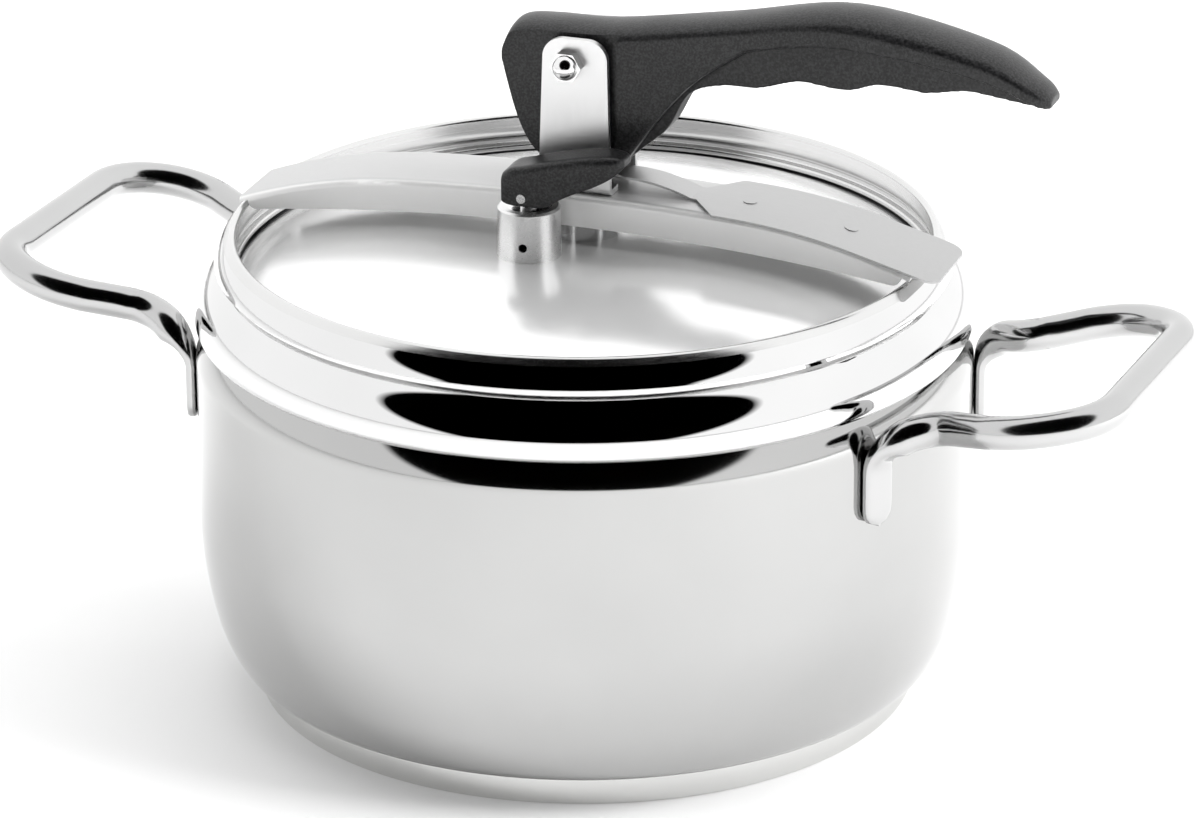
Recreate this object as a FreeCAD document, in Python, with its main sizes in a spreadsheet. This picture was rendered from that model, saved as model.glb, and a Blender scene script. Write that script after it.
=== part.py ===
"""Stovetop pressure cooker with an inner lid that a lever draws up under the rim.

Frame, in millimetres: +Z up from the face of the base disc, which rests on the stove.
+X runs along the bridge towards the lever's grip, so the two side handles lie on +X and -X.
The pot's axis is the Z axis. -Y is the front, where the steam valve stands.
"""
import FreeCAD, Part
import math
import os
import Sketcher
from FreeCAD import Placement, Rotation, Vector

doc = FreeCAD.newDocument("PressureCooker")
sheet = doc.addObject("Spreadsheet::Sheet", "Sizes")


# ---------------------------------------------------------------- driving dimensions

DIMENSIONS = [
    # pot
    ("pot_radius", 112.0), ("pot_wall", 1.0), ("pot_floor", 8.6), ("pot_crease", 109.5),
    ("wall_foot", 54.0), ("foot_bend_high", 122.6), ("foot_bend_mid", 39.9),
    ("shoulder_foot", 113.0), ("shoulder_bend", 16.4), ("neck_radius", 103.4),
    ("rim_outer", 105.8), ("rim_inner", 99.8), ("rim_crest", 137.1), ("rim_lip", 128.8),
    ("mouth_ledge", 125.4), ("base_radius", 96.0), ("base_skin", 0.8), ("core_radius", 95.0),
    # side handles
    ("tube_radius", 4.8), ("tab_width", 10.6), ("tab_thick", 3.6), ("tab_foot", 77.5),
    ("tab_head", 99.0), ("leg_angle", 21.5), ("handle_turn", -3.4),
    # bridge
    ("bridge_length", 203.0), ("bridge_width", 26.5), ("bridge_top", 151.5),
    ("bridge_sheet", 1.5), ("bridge_flat_half", 50.0), ("bridge_bend_mid", 850.0),
    ("bridge_bend_end", 170.0), ("flange_low_mid", 142.2), ("flange_bend", 722.0),
    ("flange_half", 98.6), ("draw_slot_long", 15.0), ("draw_slot_wide", 7.0),
    # leaf on the bridge
    ("leaf_thick", 0.7), ("leaf_half", 15.2), ("leaf_end", 109.5), ("tongue_half", 5.0),
    # posts and pivot
    ("post_outer", 12.0), ("post_thick", 1.8), ("post_width", 21.6), ("post_shift", 1.3),
    ("post_top", 197.6), ("post_corner", 6.0), ("post_foot", 7.0), ("pivot_height", 190.0),
    ("bolt_radius", 2.5), ("bush_radius", 3.5), ("nut_flats", 8.0), ("washer_thick", 0.6),
    # lever
    ("head_half", 9.5), ("rib_half", 5.0), ("slot_half", 3.0), ("cam_thick", 1.5),
    ("cam_radius", 18.2), ("cam_start", 11.0), ("cam_rise", 4.0), ("pin_radius", 2.0),
    # lid
    ("lid_top", 136.5), ("lid_sheet", 1.0), ("lid_flat", 36.0), ("lid_knee", 74.0),
    ("lid_radius", 99.2), ("lid_bend", 200.0), ("lid_edge_bend", 124.0),
    ("bar_wide", 12.0), ("bar_thick", 5.0), ("bar_top", 184.0), ("stud_radius", 5.0),
    ("boss_radius", 11.0), ("boss_high", 5.5),
    # steam valve
    ("valve_x", -8.1), ("valve_y", -23.3), ("valve_radius", 9.0), ("valve_high", 14.6),
    ("valve_bore", 6.5), ("valve_bore_floor", 3.0), ("vent_radius", 1.25), ("stem_radius", 2.5),
    ("flip_pin_height", 155.0), ("flip_pin_radius", 1.35), ("flip_half", 6.5),
    # safety valve
    ("safety_x", 10.0), ("safety_y", 27.0), ("safety_radius", 7.0), ("safety_high", 9.0),
]
for row, (alias, value) in enumerate(DIMENSIONS, start=1):
    sheet.set("A%d" % row, alias)
    sheet.set("B%d" % row, repr(value))
    sheet.setAlias("B%d" % row, alias)
doc.recompute()


class Size:
    """A length with the spreadsheet expression that it comes from."""

    def __init__(self, value, text):
        self.value = value
        self.text = text

    def _with(self, other, sign, value, swap=False):
        other_text = other.text if isinstance(other, Size) else repr(other)
        first, second = (other_text, self.text) if swap else (self.text, other_text)
        return Size(value, "(%s %s %s)" % (first, sign, second))

    def __add__(self, other):
        return self._with(other, "+", self.value + number(other))

    def __radd__(self, other):
        return self._with(other, "+", number(other) + self.value, swap=True)

    def __sub__(self, other):
        return self._with(other, "-", self.value - number(other))

    def __rsub__(self, other):
        return self._with(other, "-", number(other) - self.value, swap=True)

    def __mul__(self, other):
        return self._with(other, "*", self.value * number(other))

    def __rmul__(self, other):
        return self._with(other, "*", number(other) * self.value, swap=True)

    def __truediv__(self, other):
        return self._with(other, "/", self.value / number(other))

    def __neg__(self):
        return self * -1.0


def number(size):
    return size.value if isinstance(size, Size) else float(size)


D = {alias: Size(value, "Sizes." + alias) for alias, value in DIMENSIONS}


def bind(obj, path, size):
    """Give a property its value and tie it to the sheet."""
    setattr(obj, path, number(size))
    if isinstance(size, Size):
        obj.setExpression(path, size.text)


def bind_place(obj, x=0.0, y=0.0, z=0.0, rotation=None):
    obj.Placement = Placement(Vector(number(x), number(y), number(z)), rotation or Rotation())
    for axis, size in (("x", x), ("y", y), ("z", z)):
        if isinstance(size, Size):
            obj.setExpression("Placement.Base." + axis, size.text)


NODES = []


def node(obj, name):
    """Name a finished sub-part: its label is its file name."""
    obj.Label = name
    NODES.append(obj)
    return obj


# ---------------------------------------------------------------- Part helpers

ALONG_Y = Rotation(Vector(1, 0, 0), -90)     # turns a cylinder's axis from +Z to +Y
ALONG_X = Rotation(Vector(0, 1, 0), 90)


def cylinder(name, radius, height, x=0.0, y=0.0, z=0.0, rotation=None):
    obj = doc.addObject("Part::Cylinder", name)
    bind(obj, "Radius", radius)
    bind(obj, "Height", height)
    bind_place(obj, x, y, z, rotation)
    return obj


def cone(name, radius_low, radius_high, height, x=0.0, y=0.0, z=0.0, rotation=None):
    obj = doc.addObject("Part::Cone", name)
    bind(obj, "Radius1", radius_low)
    bind(obj, "Radius2", radius_high)
    bind(obj, "Height", height)
    bind_place(obj, x, y, z, rotation)
    return obj


def box(name, length, width, height, x=0.0, y=0.0, z=0.0):
    """A box centred on x and y, standing on z."""
    obj = doc.addObject("Part::Box", name)
    bind(obj, "Length", length)
    bind(obj, "Width", width)
    bind(obj, "Height", height)
    bind_place(obj, x - length / 2.0, y - width / 2.0, z)
    return obj


def hexagon(name, flats, height, x=0.0, y=0.0, z=0.0, rotation=None):
    obj = doc.addObject("Part::Prism", name)
    obj.Polygon = 6
    bind(obj, "Circumradius", flats / math.sqrt(3.0))
    bind(obj, "Height", height)
    bind_place(obj, x, y, z, rotation)
    return obj


def cut(name, base, *tools):
    for count, tool in enumerate(tools):
        step = doc.addObject("Part::Cut", "%s_cut%d" % (name, count))
        step.Base = base
        step.Tool = tool
        base = step
    return base


def fuse(name, *shapes):
    obj = doc.addObject("Part::MultiFuse", name + "_fuse")
    obj.Shapes = list(shapes)
    return obj


def ring(name, outer, inner, height, x=0.0, y=0.0, z=0.0, rotation=None):
    body = cylinder(name + "_outer", outer, height, x, y, z, rotation)
    hole = cylinder(name + "_hole", inner, height, x, y, z, rotation)
    return cut(name, body, hole)


# ---------------------------------------------------------------- PartDesign helpers

def origin_feature(body, role):
    for feature in body.Origin.OriginFeatures:
        if feature.Role == role:
            return feature
    raise ValueError("no origin feature " + role)


def new_body(name):
    return doc.addObject("PartDesign::Body", name)


def tie(sketch, index, constraint, size):
    """Tie a sketch constraint to the sheet when its size comes from there."""
    if isinstance(size, Size):
        label = "%s_%d" % (constraint.Type, index)
        number_in_sketch = sketch.addConstraint(constraint)
        sketch.renameConstraint(number_in_sketch, label)
        sketch.setExpression("Constraints." + label, size.text)
    else:
        sketch.addConstraint(constraint)


def bowed(a, b, bend):
    """The middle of the short arc from a to b, bowed right of the way when bend is positive."""
    chord = b - a
    rise = abs(bend) - math.sqrt(bend * bend - chord.Length * chord.Length / 4.0)
    side = Vector(chord.y, -chord.x, 0).normalize()
    return (a + b) * 0.5 + side * math.copysign(rise, bend)


def add_outline(sketch, start, steps):
    """Add a closed outline: each step is an end point, or a bend radius and an end point."""
    edges = []
    here = start
    for step in steps:
        bend, end = step if isinstance(step[1], tuple) else (None, step)
        a = Vector(number(here[0]), number(here[1]), 0)
        b = Vector(number(end[0]), number(end[1]), 0)
        forward = bend is None or number(bend) > 0
        if bend is None:
            geometry = Part.LineSegment(a, b)
        elif forward:
            geometry = Part.Arc(a, bowed(a, b, number(bend)), b)
        else:
            geometry = Part.Arc(b, bowed(a, b, number(bend)), a)
        index = sketch.addGeometry(geometry, False)
        edges.append((index, here, bend, (1, 2) if forward else (2, 1)))
        here = end
    last_index, _, _, (_, last_end) = edges[-1]
    for index, place, bend, (opening, closing) in edges:
        joined = Sketcher.Constraint("Coincident", last_index, last_end, index, opening)
        sketch.addConstraint(joined)
        for kind, size in zip(("DistanceX", "DistanceY"), place):
            at = Sketcher.Constraint(kind, -1, 1, index, opening, number(size))
            tie(sketch, index, at, size)
        last_index, last_end = index, closing
    for index, _, bend, _ in edges:
        if bend is not None:
            size = bend if number(bend) > 0 else -bend
            tie(sketch, index, Sketcher.Constraint("Radius", index, number(size)), size)


def new_sketch(body, name, plane):
    sketch = body.newObject("Sketcher::SketchObject", name)
    sketch.AttachmentSupport = [(origin_feature(body, plane), "")]
    sketch.MapMode = "FlatFace"
    return sketch


def outline(body, name, plane, start, steps):
    sketch = new_sketch(body, name, plane)
    add_outline(sketch, start, steps)
    return sketch


def add_circle(sketch, across, up, radius):
    centre = Vector(number(across), number(up), 0)
    index = sketch.addGeometry(Part.Circle(centre, Vector(0, 0, 1), number(radius)), False)
    tie(sketch, index, Sketcher.Constraint("DistanceX", -1, 1, index, 3, centre.x), across)
    tie(sketch, index, Sketcher.Constraint("DistanceY", -1, 1, index, 3, centre.y), up)
    tie(sketch, index, Sketcher.Constraint("Radius", index, number(radius)), radius)


def circles(body, name, plane, *places):
    sketch = new_sketch(body, name, plane)
    for across, up, radius in places:
        add_circle(sketch, across, up, radius)
    return sketch


def pad(body, sketch, length, symmetric=True, reverse=False):
    feature = body.newObject("PartDesign::Pad", sketch.Name + "_pad")
    feature.Profile = sketch
    bind(feature, "Length", length)
    feature.Midplane = symmetric
    feature.Reversed = reverse
    sketch.Visibility = False
    doc.recompute()
    return feature


def pocket(body, sketch, length, symmetric=True, reverse=False):
    """A pocket that is checked to remove material."""
    before = body.Tip.Shape.Volume
    feature = body.newObject("PartDesign::Pocket", sketch.Name + "_pocket")
    feature.Profile = sketch
    bind(feature, "Length", length)
    feature.Midplane = symmetric
    feature.Reversed = reverse
    doc.recompute()
    if not body.Tip.Shape.Volume < before - 0.01:
        raise ValueError(sketch.Name + " cuts nothing")
    return feature


def revolve(body, sketch):
    feature = body.newObject("PartDesign::Revolution", sketch.Name + "_turn")
    feature.Profile = sketch
    feature.ReferenceAxis = (sketch, ["V_Axis"])
    feature.Angle = 360.0
    doc.recompute()
    return feature


def fillet(body, wanted, radius):
    """Round those edges of the body's tip that the test picks."""
    tip = body.Tip
    edges = enumerate(tip.Shape.Edges, start=1)
    names = ["Edge%d" % place for place, edge in edges if wanted(edge)]
    feature = body.newObject("PartDesign::Fillet", body.Name + "_fillet")
    feature.Base = (tip, names)
    bind(feature, "Radius", radius)
    doc.recompute()
    return feature


# ---------------------------------------------------------------- pot

def wall_points(inset):
    """The curved foot of the pot's wall as bends that run on from each other, from the floor up."""
    high = D["foot_bend_high"].value
    mid = D["foot_bend_mid"].value
    low = 8.74
    high_angle = math.radians(14.1)
    mid_angle = math.radians(32.0)
    radius = D["pot_radius"].value
    centre_high = (radius - high, D["wall_foot"].value)
    knee = (centre_high[0] + high * math.cos(high_angle), centre_high[1] - high * math.sin(high_angle))
    centre_mid = (knee[0] - mid * math.cos(high_angle), knee[1] + mid * math.sin(high_angle))
    ankle = (centre_mid[0] + mid * math.cos(mid_angle), centre_mid[1] - mid * math.sin(mid_angle))
    centre_low = (ankle[0] - low * math.cos(mid_angle), ankle[1] + low * math.sin(mid_angle))

    def on(centre, bend, angle):
        reach = bend - inset
        return (centre[0] + reach * math.cos(angle), centre[1] - reach * math.sin(angle))

    floor = (centre_low[0], centre_low[1] - low + inset)
    return [
        floor,
        (low - inset, on(centre_low, low, mid_angle)),
        (mid - inset, on(centre_mid, mid, high_angle)),
        (high - inset, on(centre_high, high, 0.0)),
    ]


pot = new_body("pot_body")
outside = wall_points(0.0)
inside = wall_points(D["pot_wall"].value)
radius = D["pot_radius"]
wall = D["pot_wall"]
shoulder = D["shoulder_bend"]
shoulder_x = (radius - shoulder).value
neck_rise = math.sqrt(shoulder.value ** 2 - (D["neck_radius"].value - shoulder_x) ** 2)
lip_reach = 104.7
lip_rise = math.sqrt((shoulder.value - wall.value) ** 2 - (lip_reach - shoulder_x) ** 2)
crest_bend = (D["rim_outer"] - D["rim_inner"]) / 2.0
crest_x = (D["rim_outer"] + D["rim_inner"]) / 2.0
steps = [outside[0], outside[1], outside[2], outside[3]]
steps += [
    (radius, D["pot_crease"] - 0.35),
    (radius - 0.35, D["pot_crease"]),
    (radius, D["pot_crease"] + 0.35),
    (radius, D["shoulder_foot"]),
    (shoulder, (D["neck_radius"], D["shoulder_foot"] + neck_rise)),
    (D["neck_radius"], D["rim_lip"]),
    (D["rim_outer"] - 0.9, D["rim_lip"]),
    (0.9, (D["rim_outer"], D["rim_lip"] + 0.9)),
    (D["rim_outer"], D["rim_crest"] - crest_bend),
    (crest_bend, (crest_x, D["rim_crest"])),
    (crest_bend, (D["rim_inner"], D["rim_crest"] - crest_bend)),
    (D["rim_inner"], D["mouth_ledge"]),
    (lip_reach, D["shoulder_foot"] + lip_rise),
    (wall - shoulder, (radius - wall, D["shoulder_foot"])),
    inside[3][1],
    (-inside[3][0], inside[2][1]),
    (-inside[2][0], inside[1][1]),
    (-inside[1][0], inside[0]),
    (0.0, D["pot_floor"] + wall),
    (0.0, D["pot_floor"]),
]
revolve(pot, outline(pot, "wall_section", "XZ_Plane", (0.0, D["pot_floor"]), steps))
node(pot, "pot_body")

cap = new_body("base_cap")
skin = D["base_skin"]
cap_rim = 8.0
steps = [
    (D["base_radius"] - 1.2, 0.0),
    (1.2, (D["base_radius"], 1.2)),
    (D["base_radius"], cap_rim),
    (D["base_radius"] - skin, cap_rim),
    (D["base_radius"] - skin, skin),
    (0.0, skin),
    (0.0, 0.0),
]
revolve(cap, outline(cap, "cap_section", "XZ_Plane", (0.0, 0.0), steps))
node(cap, "base_cap")

node(cylinder("base_core", D["core_radius"], D["pot_floor"] - skin, z=skin), "base_core")


# ---------------------------------------------------------------- side handles

def bent_run(points, bends):
    """A wire through the points, with each inner corner turned by a tangent arc."""
    edges = []
    here = points[0]
    for before, corner, after, bend in zip(points, points[1:], points[2:], bends):
        way_in = (before - corner).normalize()
        way_out = (after - corner).normalize()
        half = way_in.getAngle(way_out) / 2.0
        reach = bend / math.tan(half)
        start = corner + way_in * reach
        finish = corner + way_out * reach
        middle_way = (way_in + way_out).normalize()
        middle = corner + middle_way * (bend / math.sin(half) - bend)
        edges.append(Part.LineSegment(here, start).toShape())
        edges.append(Part.Arc(start, middle, finish).toShape())
        here = finish
    edges.append(Part.LineSegment(here, points[-1]).toShape())
    return Part.Wire(edges)


def swept_rod(name, points, bends, radius):
    """A round rod along a bent run: one solid."""
    run = bent_run(points, bends)
    way = (points[1] - points[0]).normalize()
    ring_wire = Part.Wire([Part.Circle(points[0], way, radius).toShape()])
    obj = doc.addObject("Part::Feature", name)
    obj.Shape = run.makePipeShell([ring_wire], True, True)
    return obj


LEG = [(109.0, 42.9, 84.0), (109.0, 42.9, 104.3), (121.8, 37.0, 108.0), (150.6, 49.7, 114.5),
       (169.6, 35.3, 117.3)]
LEG_BENDS = [9.4, 14.0, 25.5, 17.8]


def side_handle(name, side):
    """A bent tube whose two flattened ends are welded to the wall."""
    swing = Rotation(Vector(0, 0, 1), D["handle_turn"].value)
    near = [swing.multVec(Vector(side * x, -y, z)) for x, y, z in LEG]
    far = [swing.multVec(Vector(side * x, y, z)) for x, y, z in reversed(LEG)]
    bends = LEG_BENDS + LEG_BENDS[::-1]
    tube = swept_rod(name + "_tube", near + far, bends, D["tube_radius"].value)
    tabs = []
    for turn in (-1, 1):
        bearing = turn * D["leg_angle"].value
        if side < 0:
            bearing = 180.0 - bearing
        turned = swing * Rotation(Vector(0, 0, 1), bearing)
        tag = "%s_tab%d" % (name, turn + 1)
        plate = doc.addObject("Part::Box", tag + "_plate")
        bind(plate, "Length", 12.0)
        bind(plate, "Width", D["tab_width"])
        bind(plate, "Height", D["tab_head"] - D["tab_foot"] - D["tab_width"] / 2.0)
        corner = Vector(number(radius) - 4.0, -number(D["tab_width"]) / 2.0, 0)
        plate.Placement = Placement(turned.multVec(corner), turned)
        plate.Placement.Base.z = number(D["tab_foot"] + D["tab_width"] / 2.0)
        round_end = doc.addObject("Part::Cylinder", tag + "_foot")
        bind(round_end, "Radius", D["tab_width"] / 2.0)
        bind(round_end, "Height", 12.0)
        start = turned.multVec(Vector(number(radius) - 4.0, 0, 0))
        start.z = number(D["tab_foot"] + D["tab_width"] / 2.0)
        round_end.Placement = Placement(start, turned * ALONG_X)
        tabs.append(fuse(tag, plate, round_end))
    skin_ring = ring(name + "_ring", radius + D["tab_thick"], radius, 60.0, z=60.0)
    blades = doc.addObject("Part::Common", name + "_blades")
    blades.Base = fuse(name + "_tabs", *tabs)
    blades.Tool = skin_ring
    return node(fuse(name, tube, blades), name)


side_handle("side_handle_right", 1)
side_handle("side_handle_left", -1)


# ---------------------------------------------------------------- bridge

def arch(half, lift=0.0):
    """Heights along the bridge's top at the flat's end and at half, raised by lift."""
    top = D["bridge_top"].value
    mid = D["bridge_bend_mid"].value
    tip = D["bridge_bend_end"].value
    flat = D["bridge_flat_half"].value
    lean = math.asin(flat / mid)
    tip_x = flat - tip * math.sin(lean)
    tip_z = top - mid + (mid - tip) * math.cos(lean)
    flat_end = (tip_x + (tip + lift) * math.sin(lean), tip_z + (tip + lift) * math.cos(lean))
    reach = math.sqrt((tip + lift) ** 2 - (half - tip_x) ** 2)
    return flat_end, (half, tip_z + reach), (half - tip_x) / (tip + lift)


bridge = new_body("bridge")
half = D["bridge_length"].value / 2.0
sheet_thick = D["bridge_sheet"].value
bend_mid = D["bridge_bend_mid"].value
bend_end = D["bridge_bend_end"].value
flat_end, tip_end, _ = arch(half)
under_flat, under_end, _ = arch(half - 0.4, -sheet_thick)
_, under_tip, _ = arch(D["flange_half"].value, -sheet_thick)
_, under_out, _ = arch(half + 3.0, -sheet_thick)
corner = 2.5
flange_half = D["flange_half"]
flange_bend = D["flange_bend"].value
flange_drop = flange_bend - math.sqrt(flange_bend ** 2 - (flange_half.value - corner) ** 2)
flange_low = D["flange_low_mid"] - flange_drop
steps = [
    (-bend_mid, flat_end),
    (-bend_end, tip_end),
    under_end,
    (bend_end - sheet_thick, under_tip),
    (flange_half, flange_low + corner),
    (-corner, (flange_half - corner, flange_low)),
    (flange_bend, (corner - flange_half, flange_low)),
    (-corner, (-flange_half, flange_low + corner)),
    (-flange_half, under_tip[1]),
    (bend_end - sheet_thick, (-under_end[0], under_end[1])),
    (-half, tip_end[1]),
    (-bend_end, (-flat_end[0], flat_end[1])),
]
side = outline(bridge, "bridge_side", "XZ_Plane", (-flat_end[0], flat_end[1]), steps)
pad(bridge, side, D["bridge_width"])


def is_fold(edge):
    """True for the long edges where the bridge's top turns down into a flange."""
    box = edge.BoundBox
    return (
        box.XLength > 40.0
        and box.YLength < 0.01
        and box.ZMin > D["flange_low_mid"].value - 4.0
        and edge.CenterOfMass.z > box.ZMin
        and box.ZMax > tip_end[1] + 3.0
        and min(abs(v.Z - flat_end[1]) for v in edge.Vertexes) < 0.01
    )


fillet(bridge, is_fold, 2.0)
hollow_low = 120.0
steps = [
    (under_out[0], hollow_low),
    under_out,
    (bend_end - sheet_thick, under_flat),
    (bend_mid - sheet_thick, (-under_flat[0], under_flat[1])),
    (bend_end - sheet_thick, (-under_out[0], under_out[1])),
    (-under_out[0], hollow_low),
]
hollow = outline(bridge, "bridge_hollow", "XZ_Plane", (-under_out[0], hollow_low), steps)
pocket(bridge, hollow, D["bridge_width"] - D["bridge_sheet"] * 2.0)
slot_half = D["draw_slot_wide"] / 2.0
slot_reach = D["draw_slot_long"] / 2.0 - slot_half
slot_end = D["draw_slot_long"] / 2.0
steps = [
    (slot_reach, -slot_half),
    (slot_half, (slot_end, 0.0)),
    (slot_half, (slot_reach, slot_half)),
    (-slot_reach, slot_half),
    (slot_half, (-slot_end, 0.0)),
    (slot_half, (-slot_reach, -slot_half)),
]
slot = outline(bridge, "draw_slot", "XY_Plane", (-slot_reach, -slot_half), steps)
pocket(bridge, slot, 400.0)
RIVETS = [("front_1", -5.6, -7.4), ("front_2", 5.6, -7.4), ("back_1", -5.6, 7.4), ("back_2", 5.6, 7.4)]
rivet_radius = 1.3
web_holes = [(x, y, rivet_radius) for _, x, y in RIVETS]
pocket(bridge, circles(bridge, "rivet_holes", "XY_Plane", *web_holes), 400.0)
node(bridge, "bridge")


# ---------------------------------------------------------------- leaf on the bridge

leaf = new_body("leaf_plate")
gap = 0.05
leaf_thick = D["leaf_thick"].value
low_flat, low_bend, slope = arch(85.0, gap)
top_flat, top_bend, _ = arch(85.0, gap + leaf_thick)
fall = math.tan(math.asin(slope))
run_out = D["leaf_end"].value - low_bend[0]
tongue_foot = 34.0
tongue_tip = 11.0
tongue_low = 155.0
tongue_bend = 54.0


def arch_height(x, lift):
    """The height of the arch's middle bend at x."""
    reach = bend_mid + lift
    return D["bridge_top"].value - bend_mid + math.sqrt(reach ** 2 - x ** 2)


foot_low = (tongue_foot, arch_height(tongue_foot, gap))
foot_top = (tongue_foot, arch_height(tongue_foot, gap + leaf_thick))
steps = [
    (-tongue_bend, foot_low),
    (-(bend_mid + gap), low_flat),
    (-(bend_end + gap), low_bend),
    (D["leaf_end"], low_bend[1] - fall * run_out),
    (D["leaf_end"], top_bend[1] - fall * run_out),
    top_bend,
    (bend_end + gap + leaf_thick, top_flat),
    (bend_mid + gap + leaf_thick, foot_top),
    (tongue_bend + leaf_thick, (tongue_tip, tongue_low + leaf_thick)),
    (tongue_tip, tongue_low),
]
strip = outline(leaf, "leaf_side", "XZ_Plane", (tongue_tip, tongue_low), steps)
pad(leaf, strip, D["leaf_half"] * 2.0)
plan = new_sketch(leaf, "leaf_plan", "XY_Plane")
tongue = D["tongue_half"]
leaf_half = D["leaf_half"]
leaf_end = D["leaf_end"]
add_outline(plan, (-5.0, -25.0), [(125.0, -25.0), (125.0, 25.0), (-5.0, 25.0), (-5.0, -25.0)])
steps = [
    (tongue_foot + 1.5, -tongue),
    (43.5, -leaf_half),
    (leaf_end - 5.0, -leaf_half),
    (5.0, (leaf_end, 5.0 - leaf_half)),
    (leaf_end, leaf_half - 5.0),
    (5.0, (leaf_end - 5.0, leaf_half)),
    (43.5, leaf_half),
    (tongue_foot + 1.5, tongue),
    (tongue_tip + 4.0, tongue),
    (5.0, (tongue_tip - 1.0, 0.0)),
    (5.0, (tongue_tip + 4.0, -tongue)),
]
add_outline(plan, (tongue_tip + 4.0, -tongue), steps)
pocket(leaf, plan, 400.0)
node(leaf, "leaf_plate")

for count, x in enumerate((50.0, 80.0), start=1):
    _, seat, lean = arch(x, gap + leaf_thick)
    tilt = Rotation(Vector(0, 1, 0), math.degrees(math.asin(lean)))
    head = cylinder("leaf_rivet_%d_head" % count, 2.0, 0.2, seat[0], 0.0, seat[1], tilt)
    node(head, "leaf_rivet_%d" % count)


# ---------------------------------------------------------------- posts and pivot

post_bottom_half = D["post_width"] / 2.0
post_shift = D["post_shift"]
post_right = post_shift + post_bottom_half - 0.01
post_left = post_shift - post_bottom_half + 0.01
for side_sign, place in ((-1, "front"), (1, "back")):
    name = "post_" + place
    post = new_body(name)
    outer = D["post_outer"] * side_sign
    inner = (D["post_outer"] - D["post_thick"]) * side_sign
    toe = (D["post_outer"] - D["post_foot"]) * side_sign
    foot_low = D["bridge_top"] + 0.05
    foot_top = foot_low + D["post_thick"]
    turn = 2.4
    steps = [
        (outer - turn * side_sign, foot_low),
        (turn * side_sign, (outer, foot_low + turn)),
        (outer, D["post_top"]),
        (inner, D["post_top"]),
        (inner, foot_top + 0.6),
        (-0.6 * side_sign, (inner - 0.6 * side_sign, foot_top)),
        (toe, foot_top),
        (toe, foot_low),
    ]
    section = outline(post, name + "_section", "YZ_Plane", (toe, foot_low), steps)
    pad(post, section, D["post_width"] + post_shift * 2.0)
    frame = new_sketch(post, name + "_face", "XZ_Plane")
    reach = 15.0
    steps = [(reach, 140.0), (reach, 210.0), (-reach, 210.0), (-reach, 140.0)]
    add_outline(frame, (-reach, 140.0), steps)
    low = D["bridge_top"] - 1.0
    top_right = post_right - 0.7
    top_left = post_left + 1.6
    bend = D["post_corner"]
    steps = [
        (post_right, low),
        (top_right, D["post_top"] - bend),
        (bend, (top_right - bend, D["post_top"])),
        (top_left + bend, D["post_top"]),
        (bend, (top_left, D["post_top"] - bend)),
        (post_left, low),
    ]
    add_outline(frame, (post_left, low), steps)
    pocket(post, frame, 60.0)
    bolt_hole = (0.0, D["pivot_height"], D["bolt_radius"] + 0.05)
    pocket(post, circles(post, name + "_bolt_hole", "XZ_Plane", bolt_hole), 60.0)
    holes = [(x, y, rivet_radius) for _, x, y in RIVETS if y * side_sign > 0]
    pocket(post, circles(post, name + "_rivet_holes", "XY_Plane", *holes), 400.0)
    node(post, name)

rivet_low = D["bridge_top"] - D["bridge_sheet"] - 0.05
for place, x, y in RIVETS:
    name = "post_rivet_" + place
    grip = D["post_thick"] + D["bridge_sheet"] + 0.1
    shank = cylinder(name + "_shank", rivet_radius, grip, x, y, rivet_low)
    tail = cylinder(name + "_tail", 2.4, 0.8, x, y, rivet_low - 0.8)
    head = cylinder(name + "_head", 2.3, 0.5, x, y, rivet_low + grip)
    node(fuse(name, shank, tail, head), name)

pivot = D["pivot_height"]
post_outer = D["post_outer"]
bolt_radius = D["bolt_radius"]
bolt_head_high = 3.4
bolt_tip = 4.6
bolt_shank = cylinder("bolt_shank", bolt_radius, post_outer * 2.0 + bolt_tip,
                      y=-bolt_tip - post_outer, z=pivot, rotation=ALONG_Y)
bolt_head = hexagon("bolt_head", D["nut_flats"], bolt_head_high, y=post_outer, z=pivot,
                    rotation=ALONG_Y)
node(fuse("pivot_bolt", bolt_shank, bolt_head), "pivot_bolt")

nut_high = 3.2
dome_radius = 3.7
nut_hex = hexagon("nut_hex", D["nut_flats"], nut_high, y=-post_outer - nut_high, z=pivot,
                  rotation=ALONG_Y)
dome = doc.addObject("Part::Sphere", "nut_dome")
bind(dome, "Radius", dome_radius)
bind_place(dome, y=-post_outer - nut_high + 0.4, z=pivot)
thread_hole = cylinder("nut_thread", bolt_radius, bolt_tip, y=-post_outer - bolt_tip, z=pivot,
                       rotation=ALONG_Y)
back_half = cylinder("nut_back", 9.0, 9.0, y=-post_outer, z=pivot, rotation=ALONG_Y)
node(cut("pivot_nut", fuse("pivot_nut_body", nut_hex, dome), thread_hole, back_half), "pivot_nut")

head_half = D["head_half"]
bush_radius = D["bush_radius"]
bush_bore = bolt_radius + 0.05
node(ring("pivot_bush", bush_radius, bush_bore, head_half * 2.0, y=-head_half, z=pivot,
          rotation=ALONG_Y), "pivot_bush")
washer_gap = 0.05
washer = D["washer_thick"]
node(ring("pivot_washer_front", 7.0, bush_bore, washer, y=-head_half - washer - washer_gap,
          z=pivot, rotation=ALONG_Y), "pivot_washer_front")
node(ring("pivot_washer_back", 7.0, bush_bore, washer, y=head_half + washer_gap,
          z=pivot, rotation=ALONG_Y), "pivot_washer_back")


# ---------------------------------------------------------------- lever

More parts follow.
